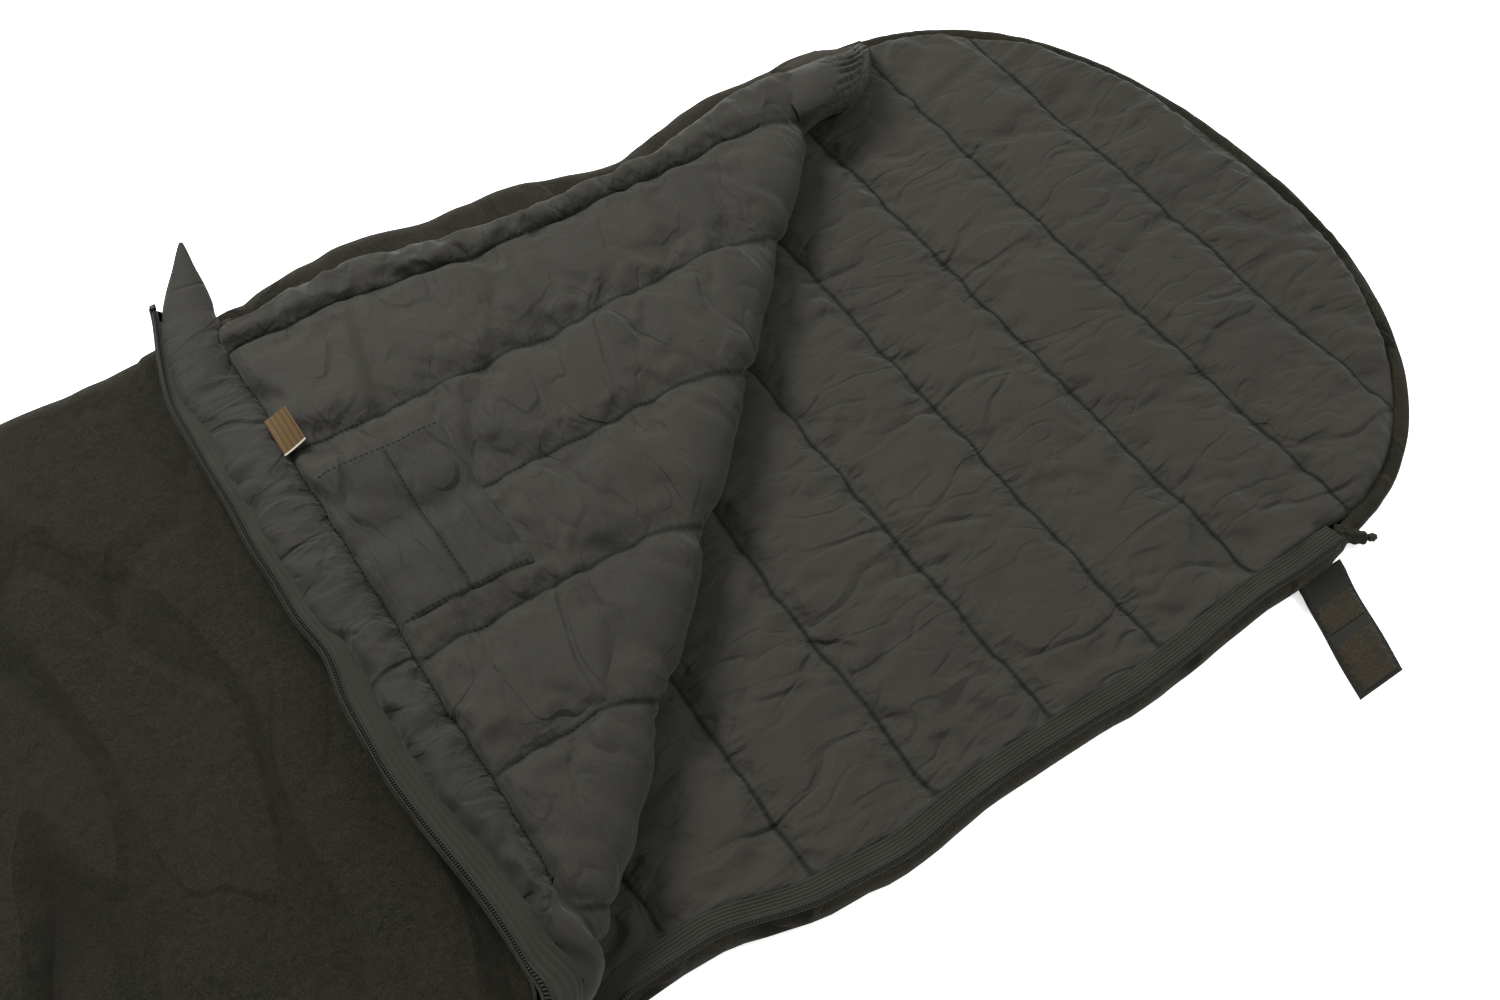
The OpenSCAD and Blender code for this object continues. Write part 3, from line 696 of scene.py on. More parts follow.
def outline_distance(inset_near, inset_far, inset_hood):
    """Distance inside the lining's outline, as a function of (x, y)."""

    def distance(x, y):
        x, y = np.asarray(x, float), np.asarray(y, float)
        reach = CROWN_Y - NECK_Y - inset_hood
        up = np.maximum(y - NECK_Y, 0)
        near = near_half(y) - inset_near + (inset_near - inset_hood) * smooth(NECK_Y - 0.02, NECK_Y + 0.03, y)
        a = np.where(x > 0, near, far_half(y) - inset_far)
        n = np.where(x > 0, HOOD_NEAR_POWER, HOOD_FAR_POWER)
        u, v = np.abs(x) / a, up / reach
        g = np.maximum((u**n + v**n) ** (1 / n), 1e-6)
        slope = np.hypot(u ** (n - 1) / a, v ** (n - 1) / reach) * g ** (1 - n)
        return (1 - g) / np.maximum(slope, 1e-6)

    return distance


def base_lining():
    rim = 0.0185
    distance = outline_distance(HALF_W - NEAR_SEAM_X, rim, rim)
    bottom = FIRST_LINE - 9 * CHANNEL
    ny = int((CROWN_Y - bottom) / STEP) + 2
    nx = int(2 * HALF_W / STEP) + 2
    x0 = NEAR_SEAM_X - (nx - 1) * STEP
    panel = Panel(x0, bottom, nx, ny, lambda x, y: distance(x, y) > 0)
    panel.snap(distance, panel.y > bottom + STEP)
    phase = ((panel.y - FIRST_LINE) / CHANNEL) % 1.0
    seam_row = (panel.j % CELLS == 0)
    inside = np.clip(distance(panel.x, panel.y), 0, None)
    z = loft(phase)
    edge = np.sqrt(1 - (1 - np.clip(inside / 0.026, 0, 1)) ** 2)
    rim_z = 0.0165 + 0.0120 * smooth(0.2, 0.43, panel.x) * (1 - smooth(NECK_Y - 0.05, NECK_Y + 0.02, panel.y))
    z = rim_z + (z - rim_z) * edge
    z = z + 0.0016 * noise(panel.x, panel.y, 0.055, 11) * edge
    z = z + 0.0012 * noise(panel.x, panel.y, 0.02, 12) * edge
    x = panel.x + wander(panel.x, panel.y, 0.0030, 13) * edge
    y = panel.y + wander(panel.x, panel.y, 0.0036, 15) * edge
    pinned = (seam_row & (edge > 0.2)) | panel.rim
    x, y, z = puff("base_cloth", panel, x, y, z, pinned, 0.048, 0.45, ceiling=PAD_TOP - 0.001)
    z = z + creases(x, y, 17) * edge * np.clip(1 - bump(0, 0.006, inside), 0, 1)
    z = np.minimum(z, PAD_TOP + 0.002)
    points = np.stack([x, y, z], -1)
    # the seam value feeds the lining's painted shade: darkest on the quilt lines and round the rim
    across = np.abs(phase - np.round(phase)) * CHANNEL
    seam = np.minimum(across, inside + 0.0012)
    obj = mesh_object("base_hood_lining", points.reshape(-1, 3), panel.quads, MAT["lining"],
                      {"seam": seam.ravel()}, levels=1)
    settle(obj, "lining_fabric", "base_lining", "base_batting", "hood_lining", "hood_batting", bend=NECK_BEND)
    lines = []
    for k in range(0, 9):
        row = np.flatnonzero(np.isclose(panel.y[nx // 2], FIRST_LINE - k * CHANNEL, atol=STEP / 3))
        if len(row):
            used = panel.used[:, row[0]] & (edge[:, row[0]] > 0.3)
            lines.append(points[used, row[0]])
    threads = stitches("base_quilt_stitches", lines, 0.0016)
    settle(threads, "trim_fabric", bend=NECK_BEND)


# ---- Outer shell of base and hood -------------------------------------------------------


def base_stations():
    """Heights along the bag at which its outline is cut, closer together where it curves."""
    foot = FOOT_Y + FOOT_R * (1 - np.cos(np.linspace(0, np.pi / 2, 12)))
    body = np.arange(FOOT_Y + FOOT_R, NECK_Y - 0.06, 0.020)[1:]
    neck = np.arange(body[-1] + 0.008, NECK_Y, 0.008)
    hood = NECK_Y + (CROWN_Y - NECK_Y) * np.sin(np.linspace(0, np.pi / 2, 64))
    return np.concatenate([foot, body, neck, hood])


def half_widths(y, inset=0.0):
    """Near and far half-widths of the outline at y, for an outline pulled in by inset."""
    y = np.asarray(y, float)
    v = np.clip(np.maximum(y - NECK_Y, 0) / (CROWN_Y - NECK_Y - inset), 0, 1)
    low = np.clip(FOOT_Y + FOOT_R - y, 0, FOOT_R)
    corner = FOOT_R - np.sqrt(np.clip(FOOT_R**2 - low**2, 0, None))
    near = (near_half(y) - inset) * (1 - v**HOOD_NEAR_POWER) ** (1 / HOOD_NEAR_POWER) - corner
    far = (far_half(y) - inset) * (1 - v**HOOD_FAR_POWER) ** (1 / HOOD_FAR_POWER) - corner
    return near, far


# section of the shell where it turns up from the floor: (inset, height)
LOW_EDGE = [(0.030, 0.0), (0.018, 0.0003), (0.009, 0.0018), (0.0030, 0.0060), (0.0004, 0.0120)]


def rim_profile(side, y):
    """Section of the shell's edge at y: (inset, height) pairs from the floor up to its top edge."""
    covered = side < 0 and y < FOLD_SUM + HALF_W - 0.05
    hooded = float(smooth(NECK_Y - 0.04, NECK_Y + 0.03, y))
    if side > 0:
        top = [(0.0, 0.0185), (0.0016, 0.0275), (0.0082, 0.0336)]
    elif covered:
        top = [(-0.0005, 0.0180), (-0.0015, 0.0280), (-0.0015, 0.0370)]
    else:
        top = [(0.0035, 0.0165), (0.0100, 0.0185), (0.0185, 0.0165)]
    hood_top = [(0.0028, 0.0175), (0.0100, 0.0205), (0.0185, 0.0163)]
    mixed = [(a[0] + (b[0] - a[0]) * hooded, a[1] + (b[1] - a[1]) * hooded) for a, b in zip(top, hood_top)]
    return LOW_EDGE + mixed


def base_shell():
    """Underside and turned-up edge, one sheet from the foot to the crown of the hood."""
    ys = base_stations()
    near, far = half_widths(ys)
    rows = []
    for side, half in ((1, near), (-1, far)):
        px = side * half
        tangent = np.stack([np.gradient(px), np.gradient(ys)], -1)
        tangent /= np.maximum(np.linalg.norm(tangent, axis=1, keepdims=True), 1e-9)
        inward = np.stack([-tangent[:, 1], tangent[:, 0]], -1) * side
        inward[-1] = (0, -1)
        ring = []
        for k, y in enumerate(ys):
            ripple = 0.0012 * noise(px[k] * 2 + ys[k] * 2, side, 0.022, 21)
            points = []
            for inset, z in rim_profile(side, y):
                out = ripple * (1 if 0.002 < z < 0.03 else 0.4)
                spot = np.array([px[k], y]) + inward[k] * (inset - out)
                points.append((spot[0], spot[1], z))
            ring.append(points)
        rows.append(np.array(ring))
    right, left = rows
    bridge = np.linspace(0, 1, 14)[1:-1, None, None]
    middle = right[:, 0][None] * (1 - bridge) + left[:, 0][None] * bridge
    sheet = np.concatenate([right[:, ::-1], middle.transpose(1, 0, 2), left], 1)
    obj = sweep("base_hood_shell", sheet, MAT["shell"])
    settle(obj, "shell_fabric", "base_shell", "hood_shell", "hood_hem", "side_wrap", bend=NECK_BEND)


def foot_edge():
    """The shell's turned-up edge round the foot, from the zip's end to the far side."""
    near_in = HALF_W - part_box("cover_shell")[1].x
    arc = np.linspace(0, np.pi / 2, 16)
    reach = HALF_W - FOOT_R
    near = [(reach + FOOT_R * math.cos(a), FOOT_Y + FOOT_R * (1 - math.sin(a)), math.cos(a), -math.sin(a))
            for a in arc]
    foot = [(x, FOOT_Y, 0.0, -1.0) for x in np.linspace(reach, -reach, 46)[1:-1]]
    far = [(-x, y, -out_x, out_y) for x, y, out_x, out_y in near[::-1]]
    start, stop = (HALF_W, ZIP_FOOT_Y + 0.004, 1.0, 0.0), (-HALF_W, ZIP_FOOT_Y + 0.020, -1.0, 0.0)
    path = [start] + near + foot + far + [stop]
    rings = []
    for x, y, out_x, out_y in path:
        zip_side = float(smooth(0.0, 0.06, y - FOOT_Y)) if x > 0 else 0.0
        high = COVER_SEAM_Z + (COVER_ZIP_Z - COVER_SEAM_Z) * zip_side
        ripple = 0.0008 * float(noise(x * 2, y * 2, 0.022, 22))
        drawn = near_in * zip_side
        profile = LOW_EDGE + [(-0.0006, 0.5 * high), (-0.0012 + 0.4 * near_in * zip_side, 0.8 * high),
                              (drawn - 0.0006, high), (drawn + 0.006, high + 0.0030)]
        rings.append([(x - out_x * (d + ripple - 0.0006), y - out_y * (d + ripple - 0.0006), z)
                      for d, z in profile])
    obj = sweep("foot_shell_edge", rings, MAT["shell"], levels=1)
    settle(obj, "shell_fabric", body="bag")


# ---- Zip: facings, chains ---------------------------------------------------------------


def ribbed_strip(name, ys, x0, x1, place, material):
    """A stitched facing: raised rows along its length. place(xs, y, rise, us) gives its points."""
    rows, per_row, amplitude = 6, 6, 0.0012
    us = np.linspace(0, 1, rows * per_row + 1)
    rise = amplitude * np.abs(np.sin(np.pi * rows * us)) ** 0.7
    rings = []
    for y in ys:
        xs = x0(y) + (x1(y) - x0(y)) * us
        pucker = 0.0005 * noise(np.full_like(us, y), us * 0.01, 0.006, 31)
        rings.append(place(xs, np.full_like(us, y), rise + pucker, us))
    attributes = {"seam": np.tile(np.minimum(us, 1 - us) * 0.02, len(ys))}
    return sweep(name, rings, material, attributes=attributes)


def chain(name, ys, place):
    """A coil zip chain: one small round-backed tooth each few millimetres, on a cord."""
    verts, faces = [], []
    pitch = 0.0028
    width, tall, long = 0.0038, 0.0030, 0.0019
    section = [(-0.5, 0.0), (-0.46, 0.55), (-0.25, 0.95), (0.25, 0.95), (0.46, 0.55), (0.5, 0.0)]
    for y in np.arange(ys[0] + pitch, ys[1] - pitch, pitch):
        base = len(verts)
        for dy in (-0.5, -0.3, 0.3, 0.5):
            shrink = 0.78 if abs(dy) == 0.5 else 1.0
            for u, v in section:
                verts.append(place(u * width * shrink, y + dy * long, v * tall * shrink))
        faces += [tuple(base + k for k in f) for f in grid_faces(4, 6)]
        faces.append(tuple(base + k for k in range(6)))
        faces.append(tuple(base + 18 + k for k in range(6)))
    return mesh_object(name, verts, faces, MAT["coil"])


def tape(name, ys, place, width, thick, material):
    """Flat tape that carries the chain: place(offset, y, height) gives its points."""
    rings = []
    for y in ys:
        rings.append([place(u * width, y, v * thick) for u, v in ((-0.5, 0), (0.5, 0), (0.5, 1), (-0.5, 1))])
    return sweep(name, rings, material, closed_ring=True, caps=True)


def base_zip():
    top = NECK_Y - 0.006
    ys = np.concatenate([np.arange(ZIP_FOOT_Y, top, 0.006), [top]])

    def place(xs, y, rise, us):
        wave = 0.0016 * noise(y, np.zeros_like(y), 0.045, 33)
        z = 0.0286 + 0.0042 * us**1.5 + rise + wave * us * (1 - us) * 4
        return np.stack([xs, y, z], -1)

    facing = ribbed_strip("base_zip_ribbed_facing", ys, lambda y: NEAR_SEAM_X - 0.001 + near_shift(y),
                          lambda y: ZIP_X - 0.0030 + near_shift(y), place, MAT["facing"])
    settle(facing, "trim_fabric", "base_zip_facing", body="bag")
    coil = chain("base_zip_teeth", (ZIP_FOOT_Y, ZIP_TOP_Y),
                 lambda u, y, v: (ZIP_X + near_shift(y) + u, y, COIL_Z + 0.0002 + v))
    settle(coil, "zip_coil", "base_zip_coil", body="bag")
    band = tape("base_zip_woven_tape", ys[ys <= ZIP_TOP_Y],
                lambda u, y, v: (ZIP_X + near_shift(y) + u, y, COIL_Z - TAPE_T + v),
                TAPE_W, TAPE_T, MAT["facing"])
    settle(band, "trim_fabric", "base_zip_tape", body="bag")


def cover_zip():
    slider_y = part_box("cover_zip_coil")[1].y
    z0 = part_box("cover_zip_coil")[0].z
    coil = chain("cover_zip_teeth", (ZIP_FOOT_Y, slider_y),
                 lambda u, y, v: (ZIP_X + u, y, z0 + COIL_H - v))
    settle(coil, "zip_coil", "cover_zip_coil", body="bag")
    ys = np.arange(ZIP_FOOT_Y, slider_y, 0.01)
    band = tape("cover_zip_woven_tape", ys,
                lambda u, y, v: (ZIP_X + u, y, z0 + COIL_H + v), TAPE_W, TAPE_T, MAT["facing"])
    settle(band, "trim_fabric", "cover_zip_tape", "cover_zip_facing", body="bag")


def flap_zip():
    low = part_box("flap_zip_coil")[0]
    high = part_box("flap_zip_coil")[1]
    y0, y1 = FOLD_SUM - high.x, FOLD_SUM - low.x
    depth = HINGE_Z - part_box("cover_zip_coil")[0].z

    def at(u, y, v):
        return tuple(over_fold(ZIP_X + zip_shift(y) + u, y, depth - COIL_H + v))

    coil = chain("flap_zip_teeth", (y0, y1), at)
    settle(coil, "zip_coil", "flap_zip_coil", body="flap")
    ys = np.arange(y0, y1, 0.006)
    band = tape("flap_zip_woven_tape", ys,
                lambda u, y, v: at(u, y, -0.0026 + v), TAPE_W, 0.0026, MAT["facing_flap"])
    settle(band, "trim_fabric", "flap_zip_tape", body="flap")
    clip = tape("flap_zip_end_clip", [y1 + 0.0006, y1 + 0.0020, y1 + 0.0042, y1 + 0.0056],
                lambda u, y, v: at(u, y, -0.0008 + v), 0.0066, 0.0052, MAT["metal"])
    settle(clip, "zip_metal", "flap_top_stop", body="flap")

    def place(xs, y, rise, us):
        wave = 0.0016 * noise(y, np.ones_like(y), 0.045, 35)
        return over_fold(xs, y, 0.0200 + 0.0080 * us**1.3 + rise + wave * us * (1 - us) * 4)

    ys = np.arange(y0 - 0.004, y1 - 0.012, 0.006)
    facing = ribbed_strip("flap_zip_ribbed_facing", ys, lambda y: ZIP_X + zip_shift(y) - 0.038,
                          lambda y: ZIP_X + zip_shift(y) - 0.0028, place, MAT["facing_flap"])
    settle(facing, "trim_fabric", "flap_zip_facing", body="flap")


# ---- Underside of the cover: lining, draft tube and neck tube, round the fold -----------


def hem_line(x):
    """Neck hem of the zipped-up cover: it dips in the middle."""
    middle = HEM_END_Y - 0.039
    raised = middle + 0.034 * smooth(-0.14, -0.30, x) + 0.040 * smooth(0.02, 0.22, x)
    return raised - 0.014 * smooth(0.27, 0.38, x)


def cover_lining():
    """One sheet of cloth over the whole folded-back underside, then cut into its pieces."""
    x_zero = FOLD_SUM - COLLAR_Y
    first_i = -int((x_zero - COLLAR_END_X) / STEP)
    last_i = round((TUBE_OUT_X - x_zero) / STEP)
    tube_i = round((TUBE_IN_X - x_zero) / STEP)
    first_j = -int((COLLAR_Y - (FOLD_SUM - TUBE_OUT_X)) / STEP) - 18
    last_j = int((HEM_END_Y + 0.02 - COLLAR_Y) / STEP) + 2
    tuck = 9

    def hem_gap(x, y):
        slope = (hem_line(x + 1e-3) - hem_line(x - 1e-3)) / 2e-3
        return (hem_line(x) - y) / np.sqrt(1 + slope**2)

    def distance(x, y):
        return np.minimum(np.minimum(hem_gap(x, y), TUBE_OUT_X + 1e-4 - x), x - COLLAR_END_X)

    def keep(x, y):
        beyond = (x + y - FOLD_SUM) / STEP
        return (distance(x, y) > 0) & (beyond > -BEND_CELLS - tuck - 0.5)

    panel = Panel(x_zero + first_i * STEP, COLLAR_Y + first_j * STEP,
                  last_i - first_i + 1, last_j - first_j + 1, keep)
    i, j = panel.i + first_i, panel.j + first_j
    beyond = i + j
    panel.snap(distance, beyond > -BEND_CELLS - tuck + 1)
    px, py = panel.x, panel.y
    hem_in = np.clip(hem_gap(px, py), 0, None)
    phase = ((py - COLLAR_Y) / CHANNEL) % 1.0
    in_tube = i >= tube_i
    in_collar = (j >= 0) & ~in_tube
    turning = smooth(-BEND_CELLS - 1, 0, beyond) * (1 - smooth(0, BEND_CELLS + 2, beyond))
    depth = loft(phase, VALLEY + 0.006 * turning, CROWN + 0.002 * turning)
    width = np.maximum(hem_line(px) - COLLAR_Y, 0.02)
    collar_t = np.clip((py - COLLAR_Y) / width, 0, 1)
    collar = 0.0205 + 0.0135 * (1 - np.abs(2 * collar_t - 1) ** 2.6)
    depth = np.where(in_collar, collar, depth)
    tube_t = np.clip((px - TUBE_IN_X) / (TUBE_OUT_X - TUBE_IN_X), 0, 1)
    tube = 0.0185 + 0.0165 * np.sqrt(np.clip(np.sin(np.pi * tube_t), 0, 1))
    depth = np.where(in_tube, tube, depth)
    near_tube = np.clip((TUBE_IN_X - px) / 0.024, 0, 1)
    depth = np.where(in_tube, depth, 0.0195 + (depth - 0.0195) * np.sqrt(1 - (1 - near_tube) ** 2))
    hem_edge = np.where(in_tube, 1, np.clip(hem_in / 0.009, 0, 1))
    hem_low = 0.012
    depth = hem_low + (depth - hem_low) * np.sqrt(1 - (1 - hem_edge) ** 2)
    resting = HINGE_Z - PAD_TOP - 0.001
    depth = depth + (resting - depth) * smooth(-BEND_CELLS + 1, -BEND_CELLS - 4, beyond)
    free = hem_edge * smooth(-BEND_CELLS - 5, -BEND_CELLS + 1, beyond)
    depth = depth + (0.0018 * noise(px, py, 0.055, 41) + 0.0013 * noise(px, py, 0.02, 42)) * free
    sx = px + wander(px, py, 0.0034, 43) * free
    drawn_up = 0.022 * smooth(0.06, 0.24, px) * smooth(COLLAR_Y - 0.13, COLLAR_Y, py) * (1 - collar_t)
    sy = py + wander(px, py, 0.0042, 45) * free + drawn_up
    seam_row = (j % CELLS == 0) & (j <= 0) & ~in_tube
    pinned = seam_row | (i == tube_i) | panel.rim
    x, y, depth = puff("cover_cloth", panel, sx, sy, depth, pinned, 0.060, 0.5, ceiling=PAD_TOP + 0.001)
    off_seam = np.clip(1 - bump(0, 0.012, px - TUBE_IN_X), 0.15, 1)
    along = np.where(in_collar, creases(x * 1.6, y, 47), creases(x, y, 49, depth=0.0062))
    along = np.where(in_tube, creases(y * 1.3, x, 48), along)
    depth = depth + along * free * off_seam
    share = np.where(in_tube, tube_t, 0)
    x = x + share * (tube_edge(y) - TUBE_OUT_X)
    points = over_fold(x, y, depth)
    # the seam value feeds the lining's painted shade: darkest on the quilt lines, the neck tube's seam, the
    # draft tube's seam and the hem
    across = np.where(j <= 0, np.abs(phase - np.round(phase)) * CHANNEL, np.abs(py - COLLAR_Y))
    across = np.where(in_tube, 1.0, across)
    seam = np.minimum(np.minimum(across, np.abs(px - TUBE_IN_X)), hem_in + 0.002)
    return panel, points, seam, beyond, in_tube, in_collar, j


def cut_cells(panel, want, beyond, low=None, high=None):
    """Faces of the cells in want, cut square to the fold between the diagonals low and high."""
    cells = np.argwhere(panel.cells & want)
    ny = panel.i.shape[1]
    faces = []
    for a, b in cells:
        corner = [a * ny + b, (a + 1) * ny + b, (a + 1) * ny + b + 1, a * ny + b + 1]
        first = beyond[a, b]
        if low is not None and first + 1 < low or high is not None and first + 1 > high:
            continue
        if low is not None and first + 1 == low:
            faces.append((corner[1], corner[2], corner[3]))
        elif high is not None and first + 1 == high:
            faces.append((corner[0], corner[1], corner[3]))
        else:
            faces.append(tuple(corner))
    return faces


def cover_underside():
    panel, points, seam, beyond, in_tube, in_collar, j = cover_lining()
    flat_points = points.reshape(-1, 3)
    attributes = {"seam": seam.ravel()}
    tube_cell = in_tube[:-1, :-1]
    collar_cell = in_collar[:-1, :-1] & ~tube_cell
    lining_cell = ~tube_cell & ~collar_cell

    def piece(name, want, low, high, material):
        return mesh_object(name, flat_points, cut_cells(panel, want, beyond, low, high),
                           MAT[material], attributes, levels=1)

    for name, cells, material, nodes in (
            ("flap_lining_quilt", lining_cell, "lining_flap", ("flap_lining", "flap_batting")),
            ("flap_draft_tube", tube_cell, "tube", ("draft_tube_cover", "draft_tube_filling")),
            ("flap_neck_tube", collar_cell, "collar", ("neck_tube_cover", "neck_tube_filling"))):
        obj = piece(name, cells, BEND_CELLS, None, material)
        settle(obj, "lining_fabric", *nodes, body="flap")
    bend = piece("cover_fold_bend", panel.cells, None, BEND_CELLS, "lining_flap")
    spread = 0.017
    settle(bend, "lining_fabric", "cover_lining", "cover_batting", "lower_draft_tube_cover",
           "lower_draft_tube_filling",
           bend=("bag", "flap", (0, 0, HINGE_Z - spread), (0, 0, HINGE_Z + spread)))

    lines = []
    for row in np.flatnonzero((j[0] % CELLS == 0) & (j[0] <= 0)):
        pick = panel.used[:, row] & ~in_tube[:, row] & (beyond[:, row] >= BEND_CELLS)
        if pick.sum() > 2:
            lines.append(points[pick, row])
    col = np.flatnonzero(in_tube[:, 0])[0]
    lines.append(points[col, panel.used[col] & (beyond[col] >= BEND_CELLS)])
    threads = stitches("flap_quilt_stitches", lines, 0.0016)
    settle(threads, "trim_fabric", body="flap")
    return points[panel.used & (beyond > BEND_CELLS)]


# ---- Outer shell of the cover -----------------------------------------------------------


def shell_top(x, y):
    """Height of the zipped-up cover's outer face: quilt grooves, and drape folds across the bag."""
    phase = ((y - FIRST_LINE + COVER_SHIFT + 0.03 * noise(x, y, 0.22, 51)) / CHANNEL) % 1.0
    off_line = np.minimum(phase, 1 - phase) * CHANNEL
    groove = bump(0, 0.017, off_line) * np.clip(0.5 + 0.7 * noise(x, y, 0.13, 52), 0, 1)
    along, across = 0.998 * x - 0.052 * y, 0.052 * x + 0.998 * y
    drape = 0.5 + 0.5 * noise(along * 0.30, across, 0.080, 53)
    line = noise(along * 0.28, across, 0.10, 55)
    fold = np.exp(-((line / 0.12) ** 2)) * smooth(-0.1, 0.4, noise(x, y, 0.16, 56))
    small = 0.5 + 0.5 * noise(x, y, 0.028, 54)
    return COVER_TOP - 0.0045 * np.clip(groove, 0, 1) - 0.0085 * drape - 0.0085 * fold - 0.0010 * small


def edge_spacing(count):
    """0..1 with points crowded at both ends."""
    return 0.5 - 0.5 * np.cos(np.linspace(0, np.pi, count))


def rounded(distance, radius):
    return np.sqrt(1 - (1 - np.clip(distance / radius, 0, 1)) ** 2)


def lower_cover():
    near_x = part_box("cover_shell")[1].x
    us = np.unique(np.concatenate([edge_spacing(60), np.linspace(0, 1, 150)]))
    vs = np.unique(np.concatenate([edge_spacing(40)[:20], np.linspace(0, 1, 190)]))
    u, v = grid(us, vs)
    x = -HALF_W + u * (near_x + HALF_W)
    stop = FOLD_SUM - 0.0006 - x
    y = FOOT_Y + v * (stop - FOOT_Y)
    low = np.clip(FOOT_Y + FOOT_R - y, 0, FOOT_R)
    corner = FOOT_R - np.sqrt(np.clip(FOOT_R**2 - low**2, 0, None))
    x = x * (1 - corner / HALF_W)
    limit = HALF_W - corner
    from_far, from_near = x + limit, limit - (HALF_W - near_x) - x
    from_foot = y - FOOT_Y
    far_rise = rounded(np.minimum(from_far, from_foot), 0.034)
    near_rise = rounded(from_near, 0.022)
    near_share = smooth(0.030, 0.004, from_near)
    foot_share = smooth(0.06, 0.0, from_foot)
    low_z = COVER_SEAM_Z + (COVER_ZIP_Z - COVER_SEAM_Z) * near_share * (1 - foot_share)
    top = shell_top(x, y)
    z = low_z + (top - low_z) * np.minimum(far_rise, near_rise)
    before_fold = smooth(0.0, 0.05, FOLD_SUM - x - y)
    x = x - (far_half(y) - HALF_W) * smooth(-0.28, -0.46, x) * before_fold
    sheet = np.stack([x, y, z], -1)
    obj = sweep("cover_outer_shell", sheet, MAT["shell"])
    settle(obj, "shell_fabric", "cover_shell", body="bag")
    lip = sheet[-1]
    lip = lip[lip[:, 1] > ZIP_FOOT_Y - 0.01]
    rings = []
    for p in lip:
        rings.append([p, (p[0] - 0.0004, p[1], p[2] - 0.0022), (ZIP_X + LIP_OUT, p[1], LIP_OUT_Z),
                      (ZIP_X + LIP_IN, p[1], LIP_IN_Z), (ZIP_X + LIP_IN, p[1], 0.0500)])
    edge = sweep("cover_zip_shell_edge", rings, MAT["shell"])
    settle(edge, "shell_fabric", body="bag")


def flap_shell():
    near_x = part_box("cover_shell")[1].x
    us = np.unique(np.concatenate([edge_spacing(60), np.linspace(0, 1, 120)]))
    vs = np.unique(np.concatenate([edge_spacing(40)[20:], np.linspace(0, 1, 90)]))
    u, v = grid(us, vs)
    x = COLLAR_END_X + 0.012 + u * (near_x - COLLAR_END_X - 0.012)
    start = FOLD_SUM + 0.0006 - x
    end = hem_line(np.minimum(x, TUBE_IN_X)) + 0.062 * smooth(TUBE_IN_X, near_x, x)
    y = start + v * (end - start)
    from_near, from_hem = near_x - x, end - y
    low_z = COVER_ZIP_Z + (FLAP_SEAM_Z - COVER_ZIP_Z) * smooth(0.0, 0.03, from_near)
    rise = np.minimum(rounded(from_near, 0.022), rounded(from_hem, 0.010))
    top = shell_top(x, y)
    z = low_z + (top - low_z) * rise
    x = x + zip_shift(y) * smooth(0.36, 0.43, x)
    obj = sweep("flap_outer_shell", folded_flat(x, y, z), MAT["shell"])
    settle(obj, "shell_fabric", "flap_shell", body="flap")
    rings = []
    for yk, xk, zk in zip(y[-1], x[-1], z[-1]):
        zip_x = ZIP_X + float(zip_shift(yk))
        rings.append(folded_flat([xk, xk - 0.0004, zip_x + LIP_OUT, zip_x + LIP_IN],
                                 yk, [zk, zk - 0.0022, LIP_OUT_Z, LIP_IN_Z]))
    edge = sweep("flap_zip_shell_edge", rings, MAT["shell"])
    settle(edge, "shell_fabric", body="flap")


# ---- Pocket, label, strap, tube tip -------------------------------------------------------


def resting_on(surface, x, y, reach=0.011):
    """Height of the cloth in surface under (x, y), evened out over reach."""
    cloth = surface[(np.abs(surface[:, 0] - x.mean()) < 0.2) & (np.abs(surface[:, 1] - y.mean()) < 0.2)]
    spot = np.stack([x.ravel(), y.ravel()], -1)
    away = ((spot[:, None] - cloth[None, :, :2]) ** 2).sum(-1)
    weight = np.exp(-away / reach**2)
    return ((weight * cloth[:, 2]).sum(1) / weight.sum(1)).reshape(x.shape)


def pocket(surface):
    low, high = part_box("pocket")
    hem_low, hem_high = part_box("pocket_hem")
    x0, x1, y0, y1 = low.x, high.x, low.y - 0.012, hem_high.y
    us, vs = np.linspace(0, 1, 56), np.linspace(0, 1, 40)
    u, v = grid(us, vs)
    skew = 0.008
    x = x0 + u * (x1 - x0) + skew * (v - 0.5)
    y = y0 + v * (y1 - y0) + 0.0015 * noise(x, u * 0, 0.05, 61)
    z = resting_on(surface, x, y) + 0.0030 + 0.0006 * noise(x * 0.5, y, 0.016, 63)
    z = z - 0.0030 * (1 - rounded(y - y0, 0.012))
    edge = np.minimum(np.minimum(u, 1 - u) * (x1 - x0), (1 - v) * (y1 - y0) * 1.2)
    z = z - 0.0034 * (1 - rounded(edge, 0.009))
    hem_at = (hem_low.y - y0) / (y1 - y0)
    band = (v > hem_at).astype(float)
    z = z + 0.0006 * band
    # painted shade: the seam value darkens the pocket's sides and top edge, and along its hem line, through
    # the lining material
    seam = np.minimum(np.minimum(edge + 0.0022, np.abs(v - hem_at) * (y1 - y0) + 0.0008), 1.0)
    obj = sweep("lining_pocket", np.stack([x, y, z], -1), MAT["pocket"],
                attributes={"seam": seam.ravel()}, levels=1)
    thicken(obj, 0.0012)
    settle(obj, "lining_fabric", "pocket", "pocket_hem", body="flap")
    points = np.stack([x, y, z], -1)
    hem_row = int(round(hem_at * (len(vs) - 1)))
    lines = [points[2:-2, hem_row], points[1, 1:-1], points[-2, 1:-1]]
    threads = stitches("pocket_stitches", lines, 0.0004)
    settle(threads, "trim_fabric", body="flap")


